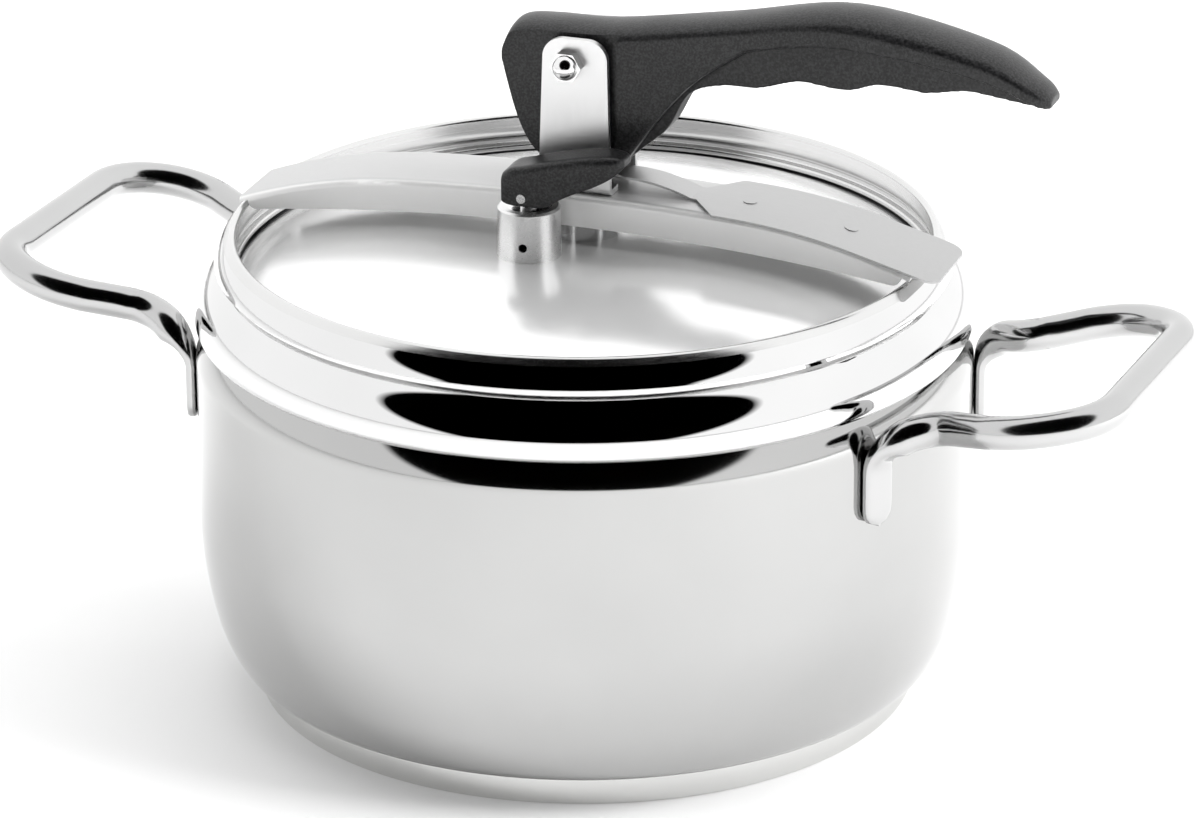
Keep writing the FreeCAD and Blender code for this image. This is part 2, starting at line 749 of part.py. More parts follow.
lever = new_body("lever_handle")
CHEEK = [
    (-15.9, 199.8), (-21.2, 193.0), (-20.8, 187.4), (-16.8, 170.1), (-10.5, 161.6), (0.0, 157.4),
    (13.4, 157.4), (17.6, 164.2), (26.8, 177.3), (35.2, 186.8), (43.8, 193.3), (46.0, 194.8),
    (46.0, 207.9), (27.0, 204.1), (10.0, 201.4), (-7.2, 200.0),
]
RIB = [
    (12.0, 158.2), (26.9, 171.5), (33.5, 182.6), (43.5, 186.1), (53.6, 186.5), (61.0, 188.6),
    (67.0, 189.7), (79.4, 188.7), (88.3, 191.2), (96.0, 191.0), (103.3, 190.5), (114.3, 192.2),
    (125.3, 191.1), (136.1, 190.4), (139.1, 194.2), (134.0, 197.0), (109.1, 206.0), (71.4, 208.0),
    (30.0, 198.0), (9.0, 185.0),
]
# stations along the grip: x, half width, underside, top of the side face, top of the crown
GRIP = [
    (44.0, 9.5, 193.4, 204.6, 207.5), (52.2, 10.2, 198.6, 205.4, 209.2),
    (61.6, 10.8, 201.2, 206.6, 211.1), (71.4, 11.0, 202.0, 207.6, 212.7),
    (83.8, 11.0, 202.7, 208.2, 213.3), (92.5, 11.0, 201.9, 208.0, 213.3),
    (100.5, 11.0, 201.0, 207.2, 212.3), (109.1, 10.7, 199.9, 205.6, 210.3),
    (118.0, 10.1, 198.1, 203.2, 207.7), (125.6, 9.0, 196.3, 200.8, 204.9),
    (132.4, 6.8, 194.8, 197.8, 200.9), (137.6, 4.4, 193.2, 195.0, 197.2),
]


def grip_section(count, x, half, low, side_top, top):
    """One crowned section across the grip."""
    sketch = new_sketch(lever, "grip_section_%d" % count, "YZ_Plane")
    sketch.AttachmentOffset = Placement(Vector(0, 0, x), Rotation())
    shoulder_z = side_top + (top - side_top) * 0.72
    right = [(half, low), (half, side_top), (half * 0.74, shoulder_z), (half * 0.3, top)]
    left = [(-y, z) for y, z in reversed(right)]
    add_outline(sketch, left[-1], right + left)
    return sketch


pad(lever, outline(lever, "cheek_side", "XZ_Plane", CHEEK[-1], CHEEK), head_half * 2.0)
sections = [grip_section(count, *station) for count, station in enumerate(GRIP)]
grip = lever.newObject("PartDesign::AdditiveLoft", "grip_crown")
grip.Profile = sections[0]
grip.Sections = sections[1:]
grip.Ruled = True
doc.recompute()
pad(lever, outline(lever, "rib_side", "XZ_Plane", RIB[-1], RIB), D["rib_half"] * 2.0)
slot_low = 150.0
slot_left = -30.0
steps = [
    (7.5, slot_low),
    (7.5, pivot + 7.0),
    (slot_left, pivot + 7.0),
    (slot_left, slot_low),
]
bar_slot = outline(lever, "bar_slot", "XZ_Plane", (slot_left, slot_low), steps)
pocket(lever, bar_slot, D["slot_half"] * 2.0)
cam_clear = 0.15
cam_pocket_half = D["slot_half"] + D["cam_thick"] + cam_clear
cam_low = 176.0
cam_right = 19.0
cam_top = 197.0
cam_toe = 4.5
steps = [
    (cam_right + cam_clear, cam_low - cam_clear),
    (cam_right + cam_clear, cam_top + cam_clear),
    (slot_left, cam_top + cam_clear),
    (slot_left, slot_low),
    (cam_toe, slot_low),
    (cam_toe, cam_low - cam_clear),
]
cam_pocket = outline(lever, "cam_pocket", "XZ_Plane", (cam_toe, cam_low - cam_clear), steps)
pocket(lever, cam_pocket, cam_pocket_half * 2.0)
pocket(lever, circles(lever, "bush_hole", "XZ_Plane", (0.0, pivot, bush_radius)), 60.0)
CAM_RIVETS = [(12.5, 193.0), (14.0, 181.0)]
cam_rivet_radius = 1.5
rivet_reach = head_half * 2.0 - 3.0
holes = [(x, z, cam_rivet_radius) for x, z in CAM_RIVETS]
pocket(lever, circles(lever, "cam_rivet_holes", "XZ_Plane", *holes), rivet_reach)
node(lever, "lever_handle")


def spiral_slot():
    """The cam slot's outline: the pin's track, widened to both sides and rounded at its ends."""
    track_half = D["pin_radius"].value + 0.15
    start = D["cam_start"].value
    rise = D["cam_rise"].value
    tangent_gain = rise / math.radians(90.0)
    outer, inner = [], []
    for turn in range(0, 91, 5):
        bearing = math.radians(-90.0 - turn)
        reach = start + rise * turn / 90.0
        out = Vector(math.cos(bearing), 0, math.sin(bearing))
        along = Vector(math.sin(bearing), 0, -math.cos(bearing)) * reach + out * tangent_gain
        across = along.normalize().cross(Vector(0, 1, 0))
        centre = out * reach + Vector(0, 0, pivot.value)
        outer.append(centre - across * track_half)
        inner.append(centre + across * track_half)
    ends = []
    for first, last in ((outer[-1], inner[-1]), (inner[0], outer[0])):
        centre = (first + last) * 0.5
        arm = first - centre
        turned = Rotation(Vector(0, 1, 0), -30.0)
        points = []
        for _ in range(5):
            arm = turned.multVec(arm)
            points.append(centre + arm)
        ends.append(points)
    run = outer + ends[0] + inner[::-1] + ends[1]
    return [(point.x, point.z) for point in run]


for place, y_sign in (("front", -1), ("back", 1)):
    name = "cam_plate_" + place
    cam = new_body(name)
    cam_radius = D["cam_radius"].value
    left_reach = math.sqrt(cam_radius ** 2 - (cam_top - pivot.value) ** 2)
    toe_x = cam_toe - 0.2
    toe_drop = math.sqrt(cam_radius ** 2 - toe_x ** 2)
    steps = [
        (cam_right, cam_low),
        (cam_right, cam_top),
        (-left_reach, cam_top),
        (cam_radius, (-cam_radius, pivot.value)),
        (cam_radius, (toe_x, pivot.value - toe_drop)),
        (toe_x, cam_low),
    ]
    pad(cam, outline(cam, name + "_side", "XZ_Plane", (toe_x, cam_low), steps), D["cam_thick"])
    track = spiral_slot()
    pocket(cam, outline(cam, name + "_track", "XZ_Plane", track[-1], track), 10.0)
    holes = [(0.0, pivot, bush_radius)] + [(x, z, cam_rivet_radius) for x, z in CAM_RIVETS]
    pocket(cam, circles(cam, name + "_holes", "XZ_Plane", *holes), 10.0)
    middle = D["slot_half"] + 0.05 + D["cam_thick"] / 2.0
    bind_place(cam, y=middle * y_sign)
    node(cam, name)

for count, (x, z) in enumerate(CAM_RIVETS, start=1):
    node(cylinder("cam_rivet_%d" % count, cam_rivet_radius, rivet_reach, x, -rivet_reach / 2.0, z,
                  ALONG_Y), "cam_rivet_%d" % count)


# ---------------------------------------------------------------- lid and draw bar

lid_top = D["lid_top"]
lid_sheet = D["lid_sheet"]
lid_under = lid_top - lid_sheet
stud = D["stud_radius"]
stud_hole = stud + 0.1
valve_x = D["valve_x"]
valve_y = D["valve_y"]
safety_x = D["safety_x"]
safety_y = D["safety_y"]
safety_spigot = 4.0


def dome_point(across, depth):
    """A point of the lid's two tangent arcs, at a radius on its top and a depth below it."""
    flat = D["lid_flat"].value
    knee = D["lid_knee"].value
    bend = D["lid_bend"].value
    edge_bend = D["lid_edge_bend"].value
    lean = math.asin((knee - flat) / bend)
    high = D["lid_top"].value - bend
    if across <= knee:
        angle = math.asin((across - flat) / bend)
        return (flat + (bend - depth) * math.sin(angle), high + (bend - depth) * math.cos(angle))
    centre = (knee - edge_bend * math.sin(lean), high + (bend - edge_bend) * math.cos(lean))
    angle = math.asin((across - centre[0]) / edge_bend)
    reach = edge_bend - depth
    return (centre[0] + reach * math.sin(angle), centre[1] + reach * math.cos(angle))


lid = new_body("lid_disc")
lid_knee = D["lid_knee"].value
lid_edge = D["lid_radius"].value
lid_bend = D["lid_bend"].value
edge_bend = D["lid_edge_bend"].value
depth = lid_sheet.value
steps = [
    (D["lid_flat"], lid_under),
    (-(lid_bend - depth), dome_point(lid_knee, depth)),
    (-(edge_bend - depth), dome_point(lid_edge, depth)),
    dome_point(lid_edge, 0.0),
    (edge_bend, dome_point(lid_knee, 0.0)),
    (lid_bend, (D["lid_flat"], lid_top)),
    (0.0, lid_top),
    (0.0, lid_under),
]
revolve(lid, outline(lid, "lid_section", "XZ_Plane", (0.0, lid_under), steps))
holes = [(0.0, 0.0, stud_hole), (valve_x, valve_y, stud_hole),
         (safety_x, safety_y, safety_spigot + 0.1)]
pocket(lid, circles(lid, "lid_holes", "XY_Plane", *holes), 400.0)
node(lid, "lid_disc")

gasket = new_body("lid_gasket")
gasket_out = 103.6
gasket_in = 97.2
groove_x = D["lid_radius"] + 0.3
seal_top = D["mouth_ledge"] - 0.3
steps = [
    (gasket_out - 1.2, 121.0),
    (1.2, (gasket_out, 122.2)),
    (gasket_out, seal_top),
    (groove_x, seal_top),
    (groove_x, 124.0),
    (gasket_in, 124.0),
    (gasket_in, 121.0),
]
revolve(gasket, outline(gasket, "gasket_section", "XZ_Plane", (gasket_in, 121.0), steps))
node(gasket, "lid_gasket")

boss_high = D["boss_high"]
stud_low = lid_under - 7.0
bar = fuse("draw_bar_body",
           box("bar_blade", D["bar_wide"], D["bar_thick"], D["bar_top"] - lid_top - boss_high,
               z=lid_top + boss_high),
           cylinder("bar_stud", stud, lid_top + boss_high - stud_low, z=stud_low))
pin_height = pivot - D["cam_start"]
pin_radius = D["pin_radius"]
pin_half = D["slot_half"] + D["cam_thick"]
pin_bore = cylinder("bar_pin_bore", pin_radius, 20.0, y=-10.0, z=pin_height, rotation=ALONG_Y)
node(cut("draw_bar", bar, pin_bore), "draw_bar")
node(cylinder("cross_pin", pin_radius, pin_half * 2.0, y=-pin_half, z=pin_height,
              rotation=ALONG_Y), "cross_pin")
node(ring("lid_boss", D["boss_radius"], stud, boss_high, z=lid_top), "lid_boss")


def clamp_set(name, x, y, stud_radius, flats):
    """The washer and hex nut that clamp a stud under the lid."""
    washer_thick = 0.8
    nut_high = 4.2
    node(ring(name + "_washer", flats / 2.0 + 1.0, stud_radius + 0.1, washer_thick, x, y,
              lid_under - washer_thick), name + "_washer")
    low = lid_under - washer_thick - nut_high
    body = hexagon(name + "_nut_hex", flats, nut_high, x, y, low)
    bore = cylinder(name + "_nut_bore", stud_radius, nut_high, x, y, low)
    node(cut(name + "_nut", body, bore), name + "_nut")


clamp_set("centre", 0.0, 0.0, stud, 16.0)


# ---------------------------------------------------------------- steam valve

valve_high = D["valve_high"]
valve_radius = D["valve_radius"]
bore = D["valve_bore"]
bore_low = lid_top + D["valve_bore_floor"]
valve_top = lid_top + valve_high
seat_radius = 2.0
chamfer = 0.6
shell = cylinder("valve_shell", valve_radius, valve_high - chamfer, valve_x, valve_y, lid_top)
shell_top = cone("valve_shell_top", valve_radius, valve_radius - chamfer, chamfer, valve_x, valve_y,
                 valve_top - chamfer)
spigot = cylinder("valve_spigot", stud, lid_top - stud_low, valve_x, valve_y, stud_low)
hollow = cylinder("valve_hollow", bore, valve_high, valve_x, valve_y, bore_low)
steam_way = cylinder("valve_steam_way", seat_radius, 30.0, valve_x, valve_y, stud_low - 1.0)
vent_turn = Rotation(Vector(0, 0, 1), -82.0) * ALONG_X
vent = cylinder("valve_vent", D["vent_radius"], 12.0, valve_x, valve_y, lid_top + 4.6, vent_turn)
node(cut("valve_body", fuse("valve_body_solid", shell, shell_top, spigot), hollow, steam_way, vent),
     "valve_body")
clamp_set("valve", valve_x, valve_y, stud, 13.0)

stem = D["stem_radius"]
guide_low = valve_top - 3.8
node(ring("valve_guide", bore, stem + 0.08, 3.8, valve_x, valve_y, guide_low), "valve_guide")

collar_low = bore_low + 2.0
collar_top = bore_low + 3.5
flip_height = D["flip_pin_height"]
flip_radius = D["flip_pin_radius"]
stem_solid = fuse(
    "valve_stem_solid",
    cone("stem_seat", seat_radius + 0.3, 4.4, 2.0, valve_x, valve_y, bore_low),
    cylinder("stem_collar", 5.5, 1.5, valve_x, valve_y, collar_low),
    cylinder("stem_shank", stem, flip_height + 2.6 - collar_top, valve_x, valve_y, collar_top),
)
flip_half = D["flip_half"]
stem_bore = cylinder("stem_bore", flip_radius, 20.0, valve_x, valve_y - 10.0, flip_height, ALONG_Y)
node(cut("valve_stem", stem_solid, stem_bore), "valve_stem")
node(cylinder("valve_pin", flip_radius, flip_half * 2.0 + 0.6, valve_x, valve_y - flip_half - 0.3,
              flip_height, ALONG_Y), "valve_pin")


def coil(name, x, y, low, high, coil_radius, wire_radius, pitch):
    """A helical spring standing between two heights."""
    body = new_body(name)
    section = circles(body, name + "_wire", "XZ_Plane", (coil_radius, low + wire_radius, wire_radius))
    helix = body.newObject("PartDesign::AdditiveHelix", name + "_helix")
    helix.Profile = section
    helix.ReferenceAxis = (section, ["V_Axis"])
    helix.Mode = 0
    helix.Pitch = pitch
    helix.Height = high - low - 2.0 * wire_radius
    bind_place(body, x, y)
    doc.recompute()
    return node(body, name)


coil("valve_spring", valve_x, valve_y, collar_top.value + 0.02, guide_low.value - 0.02, 4.2, 0.35,
     1.1)

flip = new_body("valve_lever")
block_left = valve_x - 6.2
block_low = flip_height - 2.4
block_right = valve_x + 7.3
block_top = flip_height + 6.0
steps = [
    (block_right, block_low),
    (block_right, block_top),
    (block_left, block_top),
    (block_left, flip_height),
    (2.4, (block_left + 2.4, block_low)),
]
pad(flip, outline(flip, "flip_block", "XZ_Plane", (block_left + 2.4, block_low), steps),
    flip_half * 2.0)
ARM = [
    (0.6, 154.6), (6.4, 157.5), (13.0, 160.3), (17.6, 162.9), (20.6, 165.6), (21.5, 167.5),
    (20.4, 168.7), (17.0, 169.2), (11.0, 168.8), (4.0, 167.3), (-6.0, 164.9), (-11.4, 163.4),
    (-13.6, 162.0), (-13.9, 159.0), (-4.0, 155.2),
]
pad(flip, outline(flip, "flip_arm", "XZ_Plane", ARM[-1], ARM), flip_half * 2.0 - 3.2)
slot_right = valve_x + stem + 1.25
slot_top = flip_height + 3.75
steps = [(slot_right, 150.0), (slot_right, slot_top), (-20.0, slot_top), (-20.0, 150.0)]
pocket(flip, outline(flip, "flip_slot", "XZ_Plane", (-20.0, 150.0), steps), stem * 2.0 + 0.5)
pocket(flip, circles(flip, "flip_bore", "XZ_Plane", (valve_x, flip_height, flip_radius + 0.04)),
       60.0)
bind_place(flip, y=valve_y)
node(flip, "valve_lever")


# ---------------------------------------------------------------- safety valve

safety_top = lid_top + D["safety_high"]
safety_floor = lid_top + 2.0
plunger_radius = 4.3
safety_shell = fuse(
    "safety_shell",
    cylinder("safety_wall", D["safety_radius"], D["safety_high"], safety_x, safety_y, lid_top),
    cylinder("safety_spigot", safety_spigot, lid_top - stud_low, safety_x, safety_y, stud_low),
)
safety_hollow = cylinder("safety_hollow", plunger_radius + 0.1, 20.0, safety_x, safety_y,
                         safety_floor)
safety_way = cylinder("safety_way", seat_radius, 30.0, safety_x, safety_y, stud_low - 1.0)
node(cut("safety_body", safety_shell, safety_hollow, safety_way), "safety_body")
clamp_set("safety", safety_x, safety_y, safety_spigot, 11.0)
cap_low = safety_top - 1.5
rod_radius = 1.4
node(ring("safety_cap", plunger_radius + 0.1, rod_radius + 0.1, 1.5, safety_x, safety_y, cap_low),
     "safety_cap")
node(fuse("safety_plunger",
          cylinder("plunger_disc", plunger_radius, 1.6, safety_x, safety_y, safety_floor),
          cylinder("plunger_rod", rod_radius, safety_top + 1.5 - safety_floor, safety_x, safety_y,
                   safety_floor)), "safety_plunger")
coil("safety_spring", safety_x, safety_y, safety_floor.value + 1.62, cap_low.value - 0.02, 2.9,
     0.4, 1.3)


# ---------------------------------------------------------------- checks and files

doc.recompute()
for obj in doc.Objects:
    state = [word for word in obj.State if word in ("Invalid", "Error")]
    if state:
        raise ValueError("%s is %s" % (obj.Name, state))

os.makedirs("parts", exist_ok=True)
for obj in NODES:
    shape = obj.Shape
    if shape.isNull() or not shape.isValid() or len(shape.Solids) != 1:
        raise ValueError(obj.Label + " is not one valid solid")
    shape.exportStep("parts/%s.step" % obj.Label)
print("exported", len(NODES), "nodes")
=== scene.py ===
"""Looks of the stovetop pressure cooker. Metres; +Z up, +X along the bridge, -Y the front."""

import math

import bmesh
import bpy
from mathutils import Matrix, Vector


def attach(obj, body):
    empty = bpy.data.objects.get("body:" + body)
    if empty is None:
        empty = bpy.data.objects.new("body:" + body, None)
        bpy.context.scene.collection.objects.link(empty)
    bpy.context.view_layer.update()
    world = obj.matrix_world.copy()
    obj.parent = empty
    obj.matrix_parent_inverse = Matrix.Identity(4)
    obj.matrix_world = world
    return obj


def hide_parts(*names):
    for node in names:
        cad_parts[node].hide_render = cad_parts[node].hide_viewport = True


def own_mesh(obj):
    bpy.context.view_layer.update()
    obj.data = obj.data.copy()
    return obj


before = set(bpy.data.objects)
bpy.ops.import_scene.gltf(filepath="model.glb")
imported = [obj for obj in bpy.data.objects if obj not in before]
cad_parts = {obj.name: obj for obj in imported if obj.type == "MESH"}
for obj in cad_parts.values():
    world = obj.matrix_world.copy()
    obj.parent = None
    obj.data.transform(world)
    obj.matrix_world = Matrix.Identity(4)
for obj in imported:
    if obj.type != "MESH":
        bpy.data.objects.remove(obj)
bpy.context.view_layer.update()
MM = 0.001


# ---------------------------------------------------------------- mesh helpers

def new_mesh(name, verts, faces, sharp_deg=None):
    """A mesh object in metres from points in millimetres, smooth if an edge angle is given."""
    data = bpy.data.meshes.new(name)
    data.from_pydata([(x * MM, y * MM, z * MM) for x, y, z in verts], [], faces)
    data.validate()
    data.update()
    obj = bpy.data.objects.new(name, data)
    bpy.context.scene.collection.objects.link(obj)
    if sharp_deg is not None:
        data.shade_smooth()
        data.set_sharp_from_angle(angle=math.radians(sharp_deg))
    return obj


def arc(centre, radius, start_deg, end_deg, steps):
    """Points on an arc, both ends included."""
    points = []
    for i in range(steps + 1):
        a = math.radians(start_deg + (end_deg - start_deg) * i / steps)
        points.append((centre[0] + radius * math.cos(a), centre[1] + radius * math.sin(a)))
    return points


def lathe(name, profile, segments=240, centre=(0.0, 0.0), sharp_deg=30.0):
    """Turn a closed (radius, height) outline about a vertical axis."""
    verts, rings = [], []
    for r, z in profile:
        if r < 1e-6:
            rings.append([len(verts)] * segments)
            verts.append((centre[0], centre[1], z))
        else:
            rings.append(list(range(len(verts), len(verts) + segments)))
            for k in range(segments):
                a = 2.0 * math.pi * k / segments
                verts.append((centre[0] + r * math.cos(a), centre[1] + r * math.sin(a), z))
    faces = []
    count = len(profile)
    for i in range(count):
        low, high = rings[i], rings[(i + 1) % count]
        for k in range(segments):
            n = (k + 1) % segments
            face = [low[k], low[n], high[n], high[k]]
            face = [v for j, v in enumerate(face) if v != face[j - 1]]
            if len(face) > 2:
                faces.append(face)
    return new_mesh(name, verts, faces, sharp_deg)


# ---------------------------------------------------------------- materials

def shader(name, colour, metallic, roughness):
    """A Principled material with its nodes, its links and the shader itself."""
    mat = bpy.data.materials.new(name)
    mat.use_nodes = True
    nodes = mat.node_tree.nodes
    bsdf = nodes["Principled BSDF"]
    bsdf.inputs["Base Color"].default_value = (*colour, 1.0)
    bsdf.inputs["Metallic"].default_value = metallic
    bsdf.inputs["Roughness"].default_value = roughness
    return mat, nodes, mat.node_tree.links, bsdf


def mapped(nodes, links, scale):
    """Object coordinates stretched by a scale per axis."""
    coords = nodes.new("ShaderNodeTexCoord")
    mapping = nodes.new("ShaderNodeMapping")
    mapping.inputs["Scale"].default_value = scale
    links.new(coords.outputs["Object"], mapping.inputs["Vector"])
    return mapping.outputs["Vector"]


def noise(nodes, links, vector, scale, detail=3.0, rough=0.5):
    tex = nodes.new("ShaderNodeTexNoise")
    tex.inputs["Scale"].default_value = scale
    tex.inputs["Detail"].default_value = detail
    tex.inputs["Roughness"].default_value = rough
    links.new(vector, tex.inputs["Vector"])
    return tex.outputs["Fac"]


def remap(nodes, links, value, low, high, from_low=0.3, from_high=0.7):
    """A value's own range, by default that of a noise, stretched to low and high."""
    node = nodes.new("ShaderNodeMapRange")
    node.inputs["From Min"].default_value = from_low
    node.inputs["From Max"].default_value = from_high
    node.inputs["To Min"].default_value = low
    node.inputs["To Max"].default_value = high
    links.new(value, node.inputs["Value"])
    return node.outputs["Result"]


def bump(nodes, links, bsdf, height, strength, distance):
    node = nodes.new("ShaderNodeBump")
    node.inputs["Strength"].default_value = strength
    node.inputs["Distance"].default_value = distance
    links.new(height, node.inputs["Height"])
    links.new(node.outputs["Normal"], bsdf.inputs["Normal"])


def tint(nodes, links, bsdf, value, dark, light, from_low=0.3, from_high=0.7):
    """Base colour that wanders between two shades with a noise."""
    node = nodes.new("ShaderNodeMix")
    node.data_type = "RGBA"
    node.inputs["A"].default_value = (*dark, 1.0)
    node.inputs["B"].default_value = (*light, 1.0)
    fac = remap(nodes, links, value, 0.0, 1.0, from_low, from_high)
    links.new(fac, node.inputs["Factor"])
    links.new(node.outputs["Result"], bsdf.inputs["Base Color"])


STEEL_DRIFT = 0.955    # the darkest patch of a steel as a share of its colour


def steel(name, roughness, spread, grain_scale, grain, colour=(0.80, 0.80, 0.80),
          stretch=(1.0, 1.0, 1.0), bump_mm=0.0, metallic=1.0):
    """Stainless steel with drifting polish and a fine directional grain."""
    mat, nodes, links, bsdf = shader(name, colour, metallic, roughness)
    broad = noise(nodes, links, mapped(nodes, links, (1.0, 1.0, 1.0)), 22.0, 3.0)
    dark = tuple(c * STEEL_DRIFT for c in colour)
    tint(nodes, links, bsdf, broad, dark, colour)
    fine = noise(nodes, links, mapped(nodes, links, stretch), grain_scale, 4.0, 0.6)
    mix = nodes.new("ShaderNodeMath")
    mix.operation = "ADD"
    links.new(remap(nodes, links, broad, roughness - spread, roughness + spread), mix.inputs[0])
    links.new(remap(nodes, links, fine, -grain, grain), mix.inputs[1])
    links.new(mix.outputs[0], bsdf.inputs["Roughness"])
    if bump_mm > 0.0:
        bump(nodes, links, bsdf, fine, 1.0, bump_mm * MM)
    return mat


def shade_painted_on_top(mat, painted_top_shade):
    """Painted shade on the upper faces of a folded sheet: a darker colour than its flanges, mixed
    in where the faces point up.
    """
    nodes, links = mat.node_tree.nodes, mat.node_tree.links
    bsdf = nodes["Principled BSDF"]
    flange = bsdf.inputs["Base Color"].links[0].from_socket
    shape = nodes.new("ShaderNodeNewGeometry")
    split = nodes.new("ShaderNodeSeparateXYZ")
    links.new(shape.outputs["Normal"], split.inputs[0])
    up = remap(nodes, links, split.outputs["Z"], 0.0, 1.0, 0.72, 0.92)
    mix = nodes.new("ShaderNodeMix")
    mix.data_type = "RGBA"
    links.new(up, mix.inputs["Factor"])
    links.new(flange, mix.inputs["A"])
    mix.inputs["B"].default_value = (*painted_top_shade, 1.0)
    links.new(mix.outputs["Result"], bsdf.inputs["Base Color"])


wall_steel = steel("wall_steel", 0.075, 0.015, 900.0, 0.012, (0.47, 0.47, 0.467),
                   (1.0, 1.0, 14.0))
mirror_steel = steel("mirror_steel", 0.035, 0.012, 900.0, 0.008, (0.74, 0.74, 0.74))
rim_steel = steel("rim_steel", 0.19, 0.02, 260.0, 0.03, (0.72, 0.72, 0.717), (1.0, 1.0, 8.0))
lid_steel = steel("lid_steel", 0.20, 0.02, 300.0, 0.02, (0.90, 0.90, 0.90), metallic=0.62)
satin_steel = steel("satin_steel", 0.40, 0.03, 500.0, 0.05, (0.97, 0.97, 0.965),
                    (0.12, 6.0, 6.0), 0.002, 0.50)
# painted shade: the bridge's upward faces get a darker grey than its flanges
shade_painted_on_top(satin_steel, (0.56, 0.56, 0.56))
leaf_steel = steel("leaf_steel", 0.42, 0.03, 500.0, 0.05, (0.54, 0.54, 0.54),
                   (0.12, 6.0, 6.0), 0.002)
post_steel = steel("post_steel", 0.36, 0.03, 500.0, 0.05, (0.84, 0.84, 0.84),
                   (6.0, 6.0, 0.12), 0.003)
valve_steel = steel("valve_steel", 0.30, 0.03, 800.0, 0.04, (0.82, 0.82, 0.82),
                    (1.0, 1.0, 12.0))
bright_steel = steel("bright_steel", 0.14, 0.03, 800.0, 0.03, (0.80, 0.80, 0.80))
tube_chrome = steel("tube_chrome", 0.15, 0.02, 200.0, 0.015, (0.53, 0.53, 0.53))
base_steel = steel("base_steel", 0.22, 0.03, 900.0, 0.04, (0.70, 0.70, 0.69),
                   (1.0, 1.0, 10.0), 0.002)
core_alu = steel("core_alu", 0.38, 0.04, 900.0, 0.05, (0.50, 0.50, 0.50), (1.0, 1.0, 12.0))
wire_steel = steel("wire_steel", 0.25, 0.03, 900.0, 0.03, (0.55, 0.55, 0.55))


def bakelite():
    """Moulded black phenolic: a fine granular skin with a soft sheen."""
    mat, nodes, links, bsdf = shader("bakelite", (0.011, 0.011, 0.0115), 0.0, 0.36)
    bsdf.inputs["Specular IOR Level"].default_value = 0.42
    grain = noise(nodes, links, mapped(nodes, links, (1.0, 1.0, 1.0)), 1500.0, 2.0, 0.6)
    broad = noise(nodes, links, mapped(nodes, links, (1.0, 1.0, 1.0)), 60.0, 3.0)
    tint(nodes, links, bsdf, grain, (0.003, 0.003, 0.0032), (0.024, 0.024, 0.025), 0.40, 0.66)
    links.new(remap(nodes, links, broad, 0.30, 0.40), bsdf.inputs["Roughness"])
    bump(nodes, links, bsdf, grain, 0.6, 0.00012)
    return mat


def rubber():
    """Dark seal rubber with a faint grain."""
    mat, nodes, links, bsdf = shader("seal_rubber", (0.03, 0.03, 0.032), 0.0, 0.6)
    grain = noise(nodes, links, mapped(nodes, links, (1.0, 1.0, 1.0)), 700.0, 3.0)
    tint(nodes, links, bsdf, grain, (0.022, 0.022, 0.024), (0.05, 0.05, 0.052))
    bump(nodes, links, bsdf, grain, 0.3, 0.0001)
    return mat


def brass():
    """The plain brass of the pivot bush."""
    mat, nodes, links, bsdf = shader("bush_brass", (0.72, 0.54, 0.28), 1.0, 0.25)
    grain = noise(nodes, links, mapped(nodes, links, (1.0, 1.0, 1.0)), 600.0, 3.0)
    tint(nodes, links, bsdf, grain, (0.62, 0.45, 0.22), (0.75, 0.58, 0.32))
    return mat


black = bakelite()
seal = rubber()
bush = brass()


def dress(obj, *mats):
    obj.data.materials.clear()
    for mat in mats:
        obj.data.materials.append(mat)


def piece(obj, body, slot, nodes, *mats):
    """Dress a looks-only piece, tie it to its body and hide the CAD nodes that it stands for; slot
    is not used.
    """
    dress(obj, *mats)
    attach(obj, body)
    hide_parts(*nodes)


CAD_FINISH = {
    satin_steel: ["bridge"],
    leaf_steel: ["leaf_plate", "leaf_rivet_1", "leaf_rivet_2"],
    post_steel: ["post_front", "post_back"],
    bright_steel: [
        "post_rivet_front_1", "post_rivet_front_2",
        "post_rivet_back_1", "post_rivet_back_2", "pivot_bolt", "pivot_nut",
        "pivot_washer_front", "pivot_washer_back", "cam_plate_front", "cam_plate_back",
        "cam_rivet_1", "cam_rivet_2", "draw_bar", "cross_pin", "lid_boss", "centre_washer",
        "centre_nut", "valve_washer", "valve_nut", "valve_guide", "valve_stem",
        "valve_pin", "safety_body", "safety_washer", "safety_nut", "safety_cap",
        "safety_plunger"],
    core_alu: ["base_core"],
    bush: ["pivot_bush"],
    seal: ["lid_gasket"],
}
for mat, names in CAD_FINISH.items():
    for name in names:
        for slot_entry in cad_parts[name].material_slots:
            slot_entry.material = mat


# ---------------------------------------------------------------- pot

WALL = 112.0            # outer radius of the straight wall
SHEET = 1.0             # thickness of the pot's and the lid's sheet
BASE_TOP = 8.6          # height at which the pot sits on its sandwich base
# the foot's three arcs, from the wall down: centre, radius
FOOT_HIGH = ((WALL - 122.6, 54.0), 122.6)
FOOT_MID = ((69.61, 33.84), 39.9)
FOOT_LOW = ((96.04, 17.34), 8.74)
CREASE = 109.5          # height of the crease line under the shoulder
TUCK_FOOT = 99.9        # height at which the wall starts to bend in towards the crease
TUCK_DEG = 12.0         # lean at which the first bend hands over to the second
TUCK_BEND = 25.0
SHOULDER = (95.6, 113.0)
SHOULDER_BEND = 16.4
NECK = 104.3            # outer radius where the shoulder meets the rim
LEDGE = 104.7           # inner radius where the shoulder meets the rim


def foot(inset):
    """The curved foot of the wall, from the floor up, moved inwards by inset."""
    points = arc(FOOT_LOW[0], FOOT_LOW[1] - inset, -90.0, -32.0, 10)
    points += arc(FOOT_MID[0], FOOT_MID[1] - inset, -32.0, -14.1, 10)[1:]
    points += arc(FOOT_HIGH[0], FOOT_HIGH[1] - inset, -14.1, 0.0, 14)[1:]
    return points


